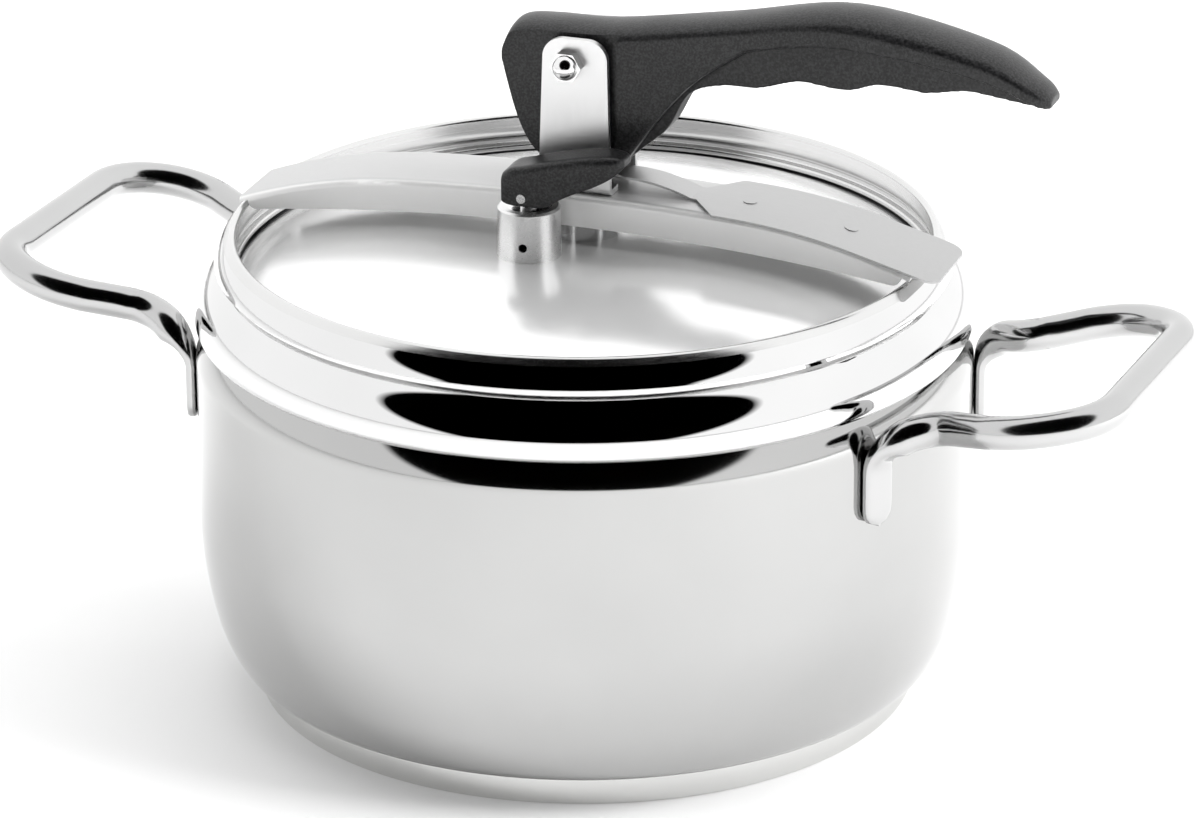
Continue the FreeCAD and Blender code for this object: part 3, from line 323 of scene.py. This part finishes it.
def tucked_wall():
    """The straight wall and its two bends in towards the crease."""
    points = [(WALL, 78.0)] + arc((WALL - 12.0, TUCK_FOOT), 12.0, 0.0, TUCK_DEG, 8)
    knee = points[-1]
    lean = math.radians(TUCK_DEG)
    centre = (knee[0] - TUCK_BEND * math.cos(lean), knee[1] - TUCK_BEND * math.sin(lean))
    top = math.degrees(math.asin((CREASE - 0.15 - centre[1]) / TUCK_BEND))
    return points + arc(centre, TUCK_BEND, TUCK_DEG, top, 14)[1:]


def rolled_rim():
    """The rim from the groove above the neck, over its crest and down the inner roll."""
    points = [(104.25, 128.4), (104.5, 128.75)]
    points += arc((105.85, 129.0), 0.25, -90.0, 10.0, 6)
    points += arc((92.4, 126.1), 14.0, 12.0, 48.0, 12)
    points += arc((100.87, 135.5), 1.35, 48.0, 165.0, 12)
    points += arc((104.0, 132.6), 4.5, 165.0, 236.0, 14)
    points += [(101.5, 128.2), (101.3, 127.7), (100.2, 127.4)]
    points += arc((100.3, 126.6), 0.8, 100.0, 180.0, 5)
    return points + arc((100.3, 126.2), 0.8, 180.0, 270.0, 5)


def pot_profile():
    """The pot's section, up the outside, over the rim and down the inside."""
    outside = [(0.0, BASE_TOP)] + foot(0.0) + tucked_wall()
    outside += arc((108.6, 112.7), 3.4, -70.0, 0.0, 14)
    neck = math.degrees(math.acos((NECK - SHOULDER[0]) / SHOULDER_BEND))
    outside += arc(SHOULDER, SHOULDER_BEND, 0.0, neck, 26) + rolled_rim()
    inner_bend = SHOULDER_BEND - SHEET
    ledge = math.degrees(math.acos((LEDGE - SHOULDER[0]) / inner_bend))
    inside = arc(SHOULDER, inner_bend, ledge, 0.0, 20)
    inside += [(110.6, 111.4), (108.6, 109.8), (108.4, 108.8), (110.0, 104.0)]
    inside += [(WALL - SHEET, 100.0), (WALL - SHEET, 80.0)]
    inside += foot(SHEET)[::-1] + [(0.0, BASE_TOP + SHEET)]
    return outside + inside


BAND_TOP = (CREASE - 0.1) * MM    # the wall's own finish ends at the crease
FOOT_TOP = 30.0 * MM              # below this the underside and the inside have it too
RIM_FOOT = 125.5 * MM             # the rim's finish starts here inside, and at RIM_OUT outside
RIM_OUT = 135.0 * MM

pot = lathe("pot_shell", pot_profile(), 360, sharp_deg=28.0)
piece(pot, "pot", "polished_steel", ["pot_body"], mirror_steel, wall_steel, rim_steel)
for face in pot.data.polygons:
    mid = face.center
    across = math.hypot(mid.x, mid.y)
    outward = face.normal.x * mid.x + face.normal.y * mid.y > 0.0
    if mid.z < BAND_TOP and (outward or mid.z < FOOT_TOP) and across > MM:
        face.material_index = 1
    elif mid.z > RIM_FOOT and not (outward and mid.z < RIM_OUT):
        face.material_index = 2

cap_profile = [(0.0, 0.0)] + arc((94.8, 1.2), 1.2, -90.0, 0.0, 6)
cap_profile += arc((95.6, 7.6), 0.4, 0.0, 90.0, 4) + [(95.2, 8.0), (95.2, 0.8), (0.0, 0.8)]
piece(lathe("base_cup", cap_profile, 300), "pot", "satin_steel", ["base_cap"], base_steel)
core_profile = [(0.0, 0.8), (95.0, 0.8), (95.0, BASE_TOP), (0.0, BASE_TOP)]
piece(lathe("base_disc", core_profile, 300), "pot", "turned_aluminium", ["base_core"], core_alu)


# ---------------------------------------------------------------- lid

LID_TOP = 136.5
LID_FLAT = 36.0                  # radius of the flat middle
LID_KNEE = 74.0                  # radius at which the dome turns down into the skirt
DOME_BEND = 200.0
SKIRT_BEND = 124.0
SKIRT_CENTRE = (50.44, 11.11)


def lid_point(across, depth):
    """A point at a radius on the lid's dome and a depth below its top face."""
    if across <= LID_FLAT:
        return (across, LID_TOP - depth)
    centre, bend = SKIRT_CENTRE, SKIRT_BEND
    if across <= LID_KNEE:
        centre, bend = (LID_FLAT, LID_TOP - DOME_BEND), DOME_BEND
    a = math.asin((across - centre[0]) / bend)
    return (centre[0] + (bend - depth) * math.sin(a), centre[1] + (bend - depth) * math.cos(a))


stations = [8.0 * i for i in range(5)] + [LID_FLAT + 1.9 * i for i in range(21)]
stations += [LID_KNEE + 1.26 * i for i in range(1, 21)]
lid_profile = [lid_point(r, SHEET) for r in stations]
lid_profile += [lid_point(r, 0.0) for r in stations[::-1]]
lid = lathe("lid_dome", lid_profile, 300)
piece(lid, "lid", "satin_steel", ["lid_disc"], lid_steel)

gasket_profile = [(97.2, 121.0)] + arc((102.4, 122.2), 1.2, -90.0, 0.0, 6)
gasket_profile += [(103.6, 125.1), (99.5, 125.1), (99.5, 124.0), (97.2, 124.0)]
piece(lathe("lid_seal", gasket_profile, 240), "lid", "seal_rubber", ["lid_gasket"], seal)


# ---------------------------------------------------------------- bakelite pieces

def eased(outline, rounds=3):
    """A closed outline whose corners are trimmed again and again."""
    for _ in range(rounds):
        trimmed = []
        for (ax, az), (bx, bz) in zip(outline, outline[1:] + outline[:1]):
            trimmed.append((ax * 0.75 + bx * 0.25, az * 0.75 + bz * 0.25))
            trimmed.append((ax * 0.25 + bx * 0.75, az * 0.25 + bz * 0.75))
        outline = trimmed
    return outline


def through(points, steps=6):
    """A smooth run of points through the given ones, ends included."""
    ends = [points[0]] + list(points) + [points[-1]]
    run = []
    for p, q, r, s in zip(ends, ends[1:], ends[2:], ends[3:]):
        for i in range(steps):
            t = i / steps
            run.append(tuple(
                0.5 * (2 * b + (c - a) * t + (2 * a - 5 * b + 4 * c - d) * t * t
                       + (3 * b - a - 3 * c + d) * t ** 3)
                for a, b, c, d in zip(p, q, r, s)))
    return run + [tuple(points[-1])]


def prism(name, outline, half, middle=0.0):
    """A side outline in X and Z made solid from -half to +half across."""
    count = len(outline)
    verts = [(x, middle - half, z) for x, z in outline]
    verts += [(x, middle + half, z) for x, z in outline]
    faces = [(k, (k + 1) % count, count + (k + 1) % count, count + k) for k in range(count)]
    faces += [tuple(range(count))[::-1], tuple(range(count, count * 2))]
    obj = new_mesh(name, verts, faces)
    shape = bmesh.new()
    shape.from_mesh(obj.data)
    bmesh.ops.recalc_face_normals(shape, faces=shape.faces)
    shape.to_mesh(obj.data)
    shape.free()
    return obj


def loft(name, sections, sharp_deg=None):
    """Closed sections of equal count joined into one solid."""
    verts, faces = [], []
    count = len(sections[0])
    for i, section in enumerate(sections):
        verts += section
        if i:
            low, high = (i - 1) * count, i * count
            for k in range(count):
                n = (k + 1) % count
                faces.append((low + k, low + n, high + n, high + k))
    faces.append(tuple(range(count))[::-1])
    faces.append(tuple(range(len(verts) - count, len(verts))))
    return new_mesh(name, verts, faces, sharp_deg)


def bar_across(name, x, z, radius, half, middle=0.0, segments=48):
    """A round solid lying along Y."""
    ring = arc((x, z), radius, 0.0, 360.0, segments)[:-1]
    return prism(name, ring, half, middle)


def finished(obj, cutters, sharp_deg):
    """Cut the cutters out, make the modifiers part of the mesh and shade it."""
    for cutter in cutters:
        trim = obj.modifiers.new("trim", "BOOLEAN")
        trim.operation = "DIFFERENCE"
        trim.solver = "EXACT"
        trim.object = cutter
    graph = bpy.context.evaluated_depsgraph_get()
    obj.data = bpy.data.meshes.new_from_object(obj.evaluated_get(graph))
    obj.modifiers.clear()
    for cutter in cutters:
        bpy.data.objects.remove(cutter)
    obj.data.shade_smooth()
    obj.data.set_sharp_from_angle(angle=math.radians(sharp_deg))
    return obj


def moulded(name, solids, voxel, passes, cuts):
    """Solids run together with their edges eased as a mould leaves them, then cut."""
    joined = bmesh.new()
    for solid in solids:
        joined.from_mesh(solid.data)
        bpy.data.objects.remove(solid)
    data = bpy.data.meshes.new(name)
    joined.to_mesh(data)
    joined.free()
    obj = bpy.data.objects.new(name, data)
    bpy.context.scene.collection.objects.link(obj)
    cells = obj.modifiers.new("cells", "REMESH")
    cells.mode = "VOXEL"
    cells.voxel_size = voxel * MM
    cells.adaptivity = 0.0
    ease = obj.modifiers.new("ease", "SMOOTH")
    ease.factor = 0.5
    ease.iterations = passes
    return finished(obj, cuts, 40.0)


# side outlines of the lever's head and of the rib under its grip, X and Z
CHEEK = [
    (-17.0, 195.0), (-20.6, 194.0), (-21.8, 190.0), (-20.8, 185.0), (-16.8, 170.1), (-11.5, 161.0),
    (-2.0, 157.2), (12.6, 157.2), (17.6, 164.2), (26.8, 177.3), (35.2, 186.8), (43.8, 193.3),
    (52.0, 198.4), (56.0, 202.0), (46.0, 200.6), (27.0, 197.6), (10.0, 195.6), (-5.0, 194.8),
]
RIB_LOW = [
    (12.0, 157.8), (19.0, 164.4), (26.9, 171.5), (33.5, 182.6), (43.5, 186.1), (53.6, 186.5),
    (61.0, 188.6), (67.0, 189.7), (79.4, 188.7), (88.3, 191.2), (96.0, 191.0), (103.3, 190.5),
    (114.3, 192.2), (125.3, 191.1), (131.0, 190.4),
]
RIB_TIP = arc((134.6, 192.6), 2.6, -100.0, 20.0, 10)
# the rib's upper edge is hidden inside the lever's body
RIB_HIGH = [(131.0, 195.6), (118.0, 201.5), (109.1, 204.5), (71.4, 206.0), (30.0, 197.0),
            (9.0, 185.0)]
# the lever's body from the side and from above, as smooth lines through a few points
TOP_LINE = [(-21.6, 192.0), (-20.0, 197.0), (-17.0, 199.2), (-8.0, 200.0), (10.0, 200.6),
            (44.0, 206.0), (80.0, 211.8), (118.0, 205.0), (134.0, 196.6), (138.6, 192.6)]
UNDERSIDE = [(-21.6, 188.0), (20.0, 190.0), (50.0, 198.0), (80.0, 202.6), (118.0, 197.6),
             (134.0, 191.0), (138.6, 189.6)]
HALF_WIDTH = [(-21.6, 8.4), (-18.0, 9.5), (44.0, 9.6), (80.0, 11.1), (118.0, 10.2), (134.0, 7.6),
              (138.6, 4.6)]
CROWN_RISE = 0.40    # height of the rounded top as a share of the half width


def follow(points, x):
    """Where a smooth line through the points passes x."""
    run = through(points)
    for (x0, z0), (x1, z1) in zip(run, run[1:]):
        if x <= x1:
            return z0 + (z1 - z0) * (x - x0) / (x1 - x0)
    return run[-1][1]


def lever_section(x):
    """Flat sides and an elliptical crown across the lever at x."""
    top, low, half = follow(TOP_LINE, x), follow(UNDERSIDE, x), follow(HALF_WIDTH, x)
    rise = min(CROWN_RISE * half, 0.5 * (top - low))
    crown = arc((0.0, 0.0), 1.0, 0.0, 180.0, 24)
    section = [(x, half, low)]
    section += [(x, half * y, top - rise + rise * z) for y, z in crown]
    return section + [(x, -half, low)]


def lever_body(count=96):
    """The lever's body from end to end, with its sections closer together at the ends."""
    first, last = TOP_LINE[0][0], TOP_LINE[-1][0]
    sections = []
    for i in range(count + 1):
        share = 0.5 - 0.5 * math.cos(math.pi * i / count)
        sections.append(lever_section(first + (last - first) * share))
    return loft("body", sections)


PIVOT_Z = 190.0
CAM_RIVETS = [(12.5, 193.0), (14.0, 181.0)]


def lever_skin():
    """Head, rib and body in one, with the recesses, the cam's slot and the pin holes."""
    solids = [
        prism("cheek", eased(CHEEK, 4), 9.55),
        prism("rib", through(RIB_LOW) + RIB_TIP + RIB_HIGH, 5.0),
        lever_body(),
    ]
    recess = [(-30.0, 150.0), (13.4, 150.0), (13.4, 199.4), (12.4, 200.4), (-30.0, 200.4)]
    cam_edge = [(4.5, 150.0), (4.5, 175.85), (19.15, 175.85), (19.15, 197.15), (-30.0, 197.15),
                (-30.0, 150.0)]
    bar_edge = [(-30.0, 149.0), (7.5, 149.0), (7.5, 197.0), (-30.0, 197.0)]
    cuts = [
        prism("front_recess", recess, 1.2, -9.4), prism("back_recess", recess, 1.2, 9.4),
        prism("cam_way", cam_edge, 4.65), prism("bar_way", bar_edge, 3.0),
        bar_across("bush_hole", 0.0, PIVOT_Z, 3.5, 12.0),
    ]
    cuts += [bar_across("rivet_hole", x, z, 1.5, 7.9) for x, z in CAM_RIVETS]
    return moulded("lever_skin", solids, 0.5, 8, cuts)


piece(lever_skin(), "lever", "black_bakelite", ["lever_handle"], black)

VALVE_X = -8.1          # the steam valve's axis
VALVE_Y = -23.3
VALVE_PIN_Z = 155.0
# stations along the valve lever: x, half width, underside, top
VALVE_ARM = [
    (-14.3, 6.3, 153.6, 161.6), (-12.0, 6.5, 152.7, 163.2), (-8.0, 6.5, 152.6, 164.2),
    (-4.0, 6.5, 152.6, 165.4), (-0.8, 6.5, 153.2, 166.3), (3.0, 6.5, 155.6, 167.2),
    (8.0, 6.4, 158.2, 168.3), (13.0, 6.1, 160.4, 169.1), (17.6, 5.4, 163.0, 169.4),
    (20.2, 4.3, 165.1, 169.0), (21.5, 2.8, 166.6, 168.0),
]


def arm_section(x, half, low, top):
    """A section of the valve lever, its upper corners rounded over."""
    round_over = min(2.4, half * 0.5, (top - low) * 0.4)
    y = half - round_over
    corner = arc((y, top - round_over), round_over, 0.0, 90.0, 6)
    right = [(half, low)] + corner
    left = [(-a, b) for a, b in reversed(right)]
    return [(x, VALVE_Y + a, b) for a, b in right + left]


def valve_lever_skin():
    """The small lever, with the way for its stem and the hole for its pin."""
    solids = [loft("arm", [arm_section(*station) for station in through(VALVE_ARM, 6)])]
    reach = VALVE_X + 3.75
    stem_way = [(-20.0, 150.0), (reach, 150.0), (reach, 158.75), (-20.0, 158.75)]
    cuts = [prism("stem_way", stem_way, 2.75, VALVE_Y),
            bar_across("pin_hole", VALVE_X, VALVE_PIN_Z, 1.39, 12.0, VALVE_Y)]
    return moulded("valve_lever_skin", solids, 0.26, 10, cuts)


piece(valve_lever_skin(), "valve_lever", "black_bakelite", ["valve_lever"], black)


# ---------------------------------------------------------------- steam valve body

def valve_shell():
    """A turned cylinder with a steam hole in its side."""
    outline = [(2.0, 128.5), (5.0, 128.5), (5.0, 136.5), (9.0, 136.5), (9.0, 150.5)]
    outline += [(8.4, 151.1), (6.5, 151.1), (6.5, 139.5), (2.0, 139.5)]
    obj = lathe("valve_shell", outline, 120, (VALVE_X, VALVE_Y))
    hole = bar_across("steam_hole", 0.0, 0.0, 1.25, 6.0, -6.0, 32)
    turn = Matrix.Rotation(math.radians(8.0), 4, "Z")
    hole.matrix_world = Matrix.Translation((VALVE_X * MM, VALVE_Y * MM, 0.1411)) @ turn
    return finished(obj, [hole], 25.0)


piece(valve_shell(), "lid", "machined_steel", ["valve_body"], valve_steel)


# ---------------------------------------------------------------- springs

COIL_STEPS = 40         # sections of wire per turn


def coil(name, centre, low, high, coil_radius, wire, pitch, sides=10):
    """A helical spring of round wire standing between two heights."""
    turns = (high - low - 2.0 * wire) / pitch
    steps = int(turns * COIL_STEPS)
    verts, faces = [], []
    for i in range(steps + 1):
        a = 2.0 * math.pi * turns * i / steps
        z = low + wire + pitch * turns * i / steps
        for k in range(sides):
            b = 2.0 * math.pi * k / sides
            r = coil_radius + wire * math.cos(b)
            verts.append((centre[0] + r * math.cos(a), centre[1] + r * math.sin(a),
                          z + wire * math.sin(b)))
        if i:
            before, here = (i - 1) * sides, i * sides
            for k in range(sides):
                n = (k + 1) % sides
                faces.append((before + k, here + k, here + n, before + n))
    faces.append(tuple(range(sides)))
    faces.append(tuple(range(steps * sides, (steps + 1) * sides))[::-1])
    return new_mesh(name, verts, faces, 60.0)


SAFETY_X = 10.0         # the safety valve's axis
SAFETY_Y = 27.0
# name, joint, centre, foot, top, coil radius, wire radius, pitch, share kept when squashed
SPRINGS = [
    ("valve", "valve_stem_lift", (VALVE_X, VALVE_Y), 143.02, 147.28, 4.2, 0.35, 1.1, 0.28),
    ("safety", "safety_lift", (SAFETY_X, SAFETY_Y), 140.12, 143.98, 2.9, 0.4, 1.3, 0.58),
]
for name, joint, place, low, high, coil_radius, wire, pitch, keep in SPRINGS:
    spring = coil(name + "_coil", place, low, high, coil_radius, wire, pitch)
    piece(spring, "lid", "spring_steel", [name + "_spring"], wire_steel)
    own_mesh(spring)


# ---------------------------------------------------------------- side handles

STEP = 1.6              # spacing of the sections along the tube


def smooth_path(points, bends):
    """A polyline through the points with tangent arcs at its inner corners."""
    path = [points[0]]
    for before, corner, after, bend in zip(points, points[1:], points[2:], bends):
        way_in = (before - corner).normalized()
        way_out = (after - corner).normalized()
        half = way_in.angle(way_out) / 2.0
        reach = bend / math.tan(half)
        centre = corner + (way_in + way_out).normalized() * (bend / math.sin(half))
        start = corner + way_in * reach - centre
        finish = corner + way_out * reach - centre
        sweep = start.angle(finish)
        axis = start.cross(finish).normalized()
        steps = max(6, int(bend * sweep / STEP))
        for i in range(steps + 1):
            path.append(centre + Matrix.Rotation(sweep * i / steps, 3, axis) @ start)
    path.append(points[-1])
    return path


# half of the tube's route, from the pressed end on the wall outwards, and its bend radii
LEG = [(109.0, 42.9, 84.0), (109.0, 42.9, 104.3), (121.8, 37.0, 108.0), (150.6, 49.7, 114.5),
       (169.6, 35.3, 117.3)]
LEG_BENDS = [9.4, 14.0, 25.5, 17.8]
LEG_FOOT = 78.0         # height of the pressed ends
HANDLE_TURN = math.radians(-3.4)
TUBE = 4.8              # radius of the round tube
TAB_WIDTH = 5.3         # half the width of a pressed end
TAB_THICK = 1.75        # half the thickness of a pressed end
TAB_LENGTH = 17.0
TAB_EASE = 10.0         # length over which the pressed end becomes a round tube
TAB_ROUND = 5.2         # length over which its tip is rounded off
TAB_SETBACK = TUBE + 0.35 - 1.8    # how far a pressed end lies behind the tube's middle


def evenly(path):
    """The path with its long stretches cut into steps."""
    dense = [path[0]]
    for a, b in zip(path, path[1:]):
        cuts = max(1, int((b - a).length / STEP))
        dense += [a.lerp(b, i / cuts) for i in range(1, cuts + 1)]
    return dense


def tube_section(point, tangent, end, sides=32):
    """The tube's section at a point of its route, a distance away from its nearer end."""
    outward = Vector((point.x, point.y, 0.0)).normalized()
    across = tangent.cross(outward).normalized()
    out = across.cross(tangent).normalized()
    flat = 1.0 - min(1.0, max(0.0, (end - TAB_LENGTH) / TAB_EASE))
    flat = flat * flat * (3.0 - 2.0 * flat)
    left = 1.0 - min(1.0, end / TAB_ROUND)
    round_off = min(1.0, max(0.06, math.sqrt(max(0.0, 1.0 - left ** 2))))
    width = (TUBE + (TAB_WIDTH - TUBE) * flat) * round_off
    thick = (TUBE + (TAB_THICK - TUBE) * flat) * (0.55 + 0.45 * round_off)
    centre = point - out * TAB_SETBACK * flat
    power = 1.0 - 0.35 * flat
    section = []
    for k in range(sides):
        a = 2.0 * math.pi * k / sides
        ca, sa = math.cos(a), math.sin(a)
        u = math.copysign(abs(ca) ** power, ca) * width
        v = math.copysign(abs(sa) ** power, sa) * thick
        section.append(centre + across * u + out * v)
    return section


def handle(name, side, node):
    """A bent round tube whose ends are pressed flat against the wall."""
    swing = Matrix.Rotation(HANDLE_TURN, 3, "Z")
    near = [swing @ Vector((side * x, -y, z)) for x, y, z in LEG]
    far = [swing @ Vector((side * x, y, z)) for x, y, z in reversed(LEG)]
    near[0].z = far[-1].z = LEG_FOOT
    path = evenly(smooth_path(near + far, LEG_BENDS + LEG_BENDS[::-1]))
    run = [0.0]
    for a, b in zip(path, path[1:]):
        run.append(run[-1] + (b - a).length)
    last = len(path) - 1
    sections = []
    for i, point in enumerate(path):
        tangent = (path[min(i + 1, last)] - path[max(i - 1, 0)]).normalized()
        sections.append(tube_section(point, tangent, min(run[i], run[-1] - run[i])))
    piece(loft(name, sections, 60.0), "pot", "handle_chrome", [node], tube_chrome)


handle("handle_right", 1, "side_handle_right")
handle("handle_left", -1, "side_handle_left")


# ---------------------------------------------------------------- studio

def stage_plane(name, size, location, rotation, mat):
    bpy.ops.mesh.primitive_plane_add(size=size, location=location, rotation=rotation)
    obj = bpy.context.object
    obj.name = name
    dress(obj, mat)


def floor_material():
    mat, nodes, links, bsdf = shader("pale_floor", (0.92, 0.92, 0.92), 0.0, 0.6)
    drift = noise(nodes, links, mapped(nodes, links, (1.0, 1.0, 1.0)), 3.0, 2.0)
    tint(nodes, links, bsdf, drift, (0.925, 0.925, 0.925), (0.94, 0.94, 0.94))
    bsdf.inputs["Specular IOR Level"].default_value = 0.2
    bsdf.inputs["Emission Color"].default_value = (1.0, 1.0, 1.0, 1.0)
    bsdf.inputs["Emission Strength"].default_value = 0.06
    return mat


stage_plane("floor", 14.0, (0.0, 0.0, 0.0), (0.0, 0.0, 0.0), floor_material())

# level directions from the pot towards the camera and to the camera's right
CAM_SIDE = Vector((0.3371, -0.9415, 0.0))
CAM_RIGHT = Vector((0.9415, 0.3371, 0.0))
WORLD_LEFT = 1.20       # strength of the surroundings on the camera's left
WORLD_RIGHT = 1.30
DARK_UP = math.radians(40.0)       # place and edge of the surroundings' dark patch
DARK_TURN = math.radians(6.0)
DARK_INNER = math.cos(math.radians(47.5))
DARK_OUTER = math.cos(math.radians(50.5))


def studio_world():
    """White surroundings with a round dark patch above and behind the camera."""
    world = bpy.data.worlds.new("studio")
    bpy.context.scene.world = world
    world.use_nodes = True
    nodes, links = world.node_tree.nodes, world.node_tree.links
    back = nodes["Background"]
    coords = nodes.new("ShaderNodeTexCoord")
    level = CAM_SIDE * math.cos(DARK_TURN) - CAM_RIGHT * math.sin(DARK_TURN)
    axis = level * math.cos(DARK_UP) + Vector((0, 0, 1)) * math.sin(DARK_UP)
    dot = nodes.new("ShaderNodeVectorMath")
    dot.operation = "DOT_PRODUCT"
    links.new(coords.outputs["Generated"], dot.inputs[0])
    dot.inputs[1].default_value = axis
    dark = remap(nodes, links, dot.outputs["Value"], 1.0, 0.0, DARK_OUTER, DARK_INNER)
    side = nodes.new("ShaderNodeVectorMath")
    side.operation = "DOT_PRODUCT"
    links.new(coords.outputs["Generated"], side.inputs[0])
    side.inputs[1].default_value = CAM_RIGHT
    slope = remap(nodes, links, side.outputs["Value"], WORLD_LEFT, WORLD_RIGHT, -0.7, 0.7)
    product = nodes.new("ShaderNodeMath")
    product.operation = "MULTIPLY"
    links.new(dark, product.inputs[0])
    links.new(slope, product.inputs[1])
    back.inputs["Color"].default_value = (1.0, 1.0, 1.0, 1.0)
    links.new(product.outputs[0], back.inputs["Strength"])


studio_world()


def softbox(name, location, target, size, power):
    """A rectangular lamp aimed at a point and not mirrored in the steel."""
    light = bpy.data.lights.new(name, "AREA")
    light.shape = "RECTANGLE"
    light.size, light.size_y = size
    light.energy = power
    obj = bpy.data.objects.new(name, light)
    obj.location = location
    way = Vector(target) - Vector(location)
    obj.rotation_euler = way.to_track_quat("-Z", "Y").to_euler()
    obj.visible_glossy = False
    bpy.context.scene.collection.objects.link(obj)


def around(bearing_deg, distance, height):
    """A place seen from the pot: bearing 0 is the camera's side, positive to its right."""
    a = math.radians(bearing_deg)
    spot = (CAM_SIDE * math.cos(a) + CAM_RIGHT * math.sin(a)) * distance
    return (spot.x, spot.y, height)


softbox("softbox_top", (0.0, 0.2, 2.6), (0, 0, 0.1), (2.6, 2.6), 26.0)
softbox("softbox_front", around(-15.0, 2.4, 1.5), (0, 0, 0.1), (1.6, 1.2), 18.0)
softbox("softbox_right", around(78.0, 1.9, 1.4), (0, 0, 0.1), (1.2, 1.2), 50.0)


# ---------------------------------------------------------------- camera

CAMERA_PLACE = (0.5665, -1.5695, 0.7561)
CAMERA_WAY = Vector((-0.3125, 0.8727, -0.3751))
CAMERA_ROLL = math.radians(-0.30)
LENS_MM = 186.5


def camera():
    data = bpy.data.cameras.new("camera")
    data.sensor_width = 36.0
    data.lens = LENS_MM
    data.clip_end = 30.0
    obj = bpy.data.objects.new("camera", data)
    forward = CAMERA_WAY.normalized()
    level = CAM_RIGHT.normalized()
    upright = level.cross(forward)
    right = level * math.cos(CAMERA_ROLL) + upright * math.sin(CAMERA_ROLL)
    up = upright * math.cos(CAMERA_ROLL) - level * math.sin(CAMERA_ROLL)
    turn = Matrix((right, up, -forward)).transposed()
    obj.matrix_world = Matrix.Translation(CAMERA_PLACE) @ turn.to_4x4()
    bpy.context.scene.collection.objects.link(obj)
    bpy.context.scene.camera = obj


camera()
bpy.context.scene.view_settings.view_transform = "Standard"
bpy.context.view_layer.update()
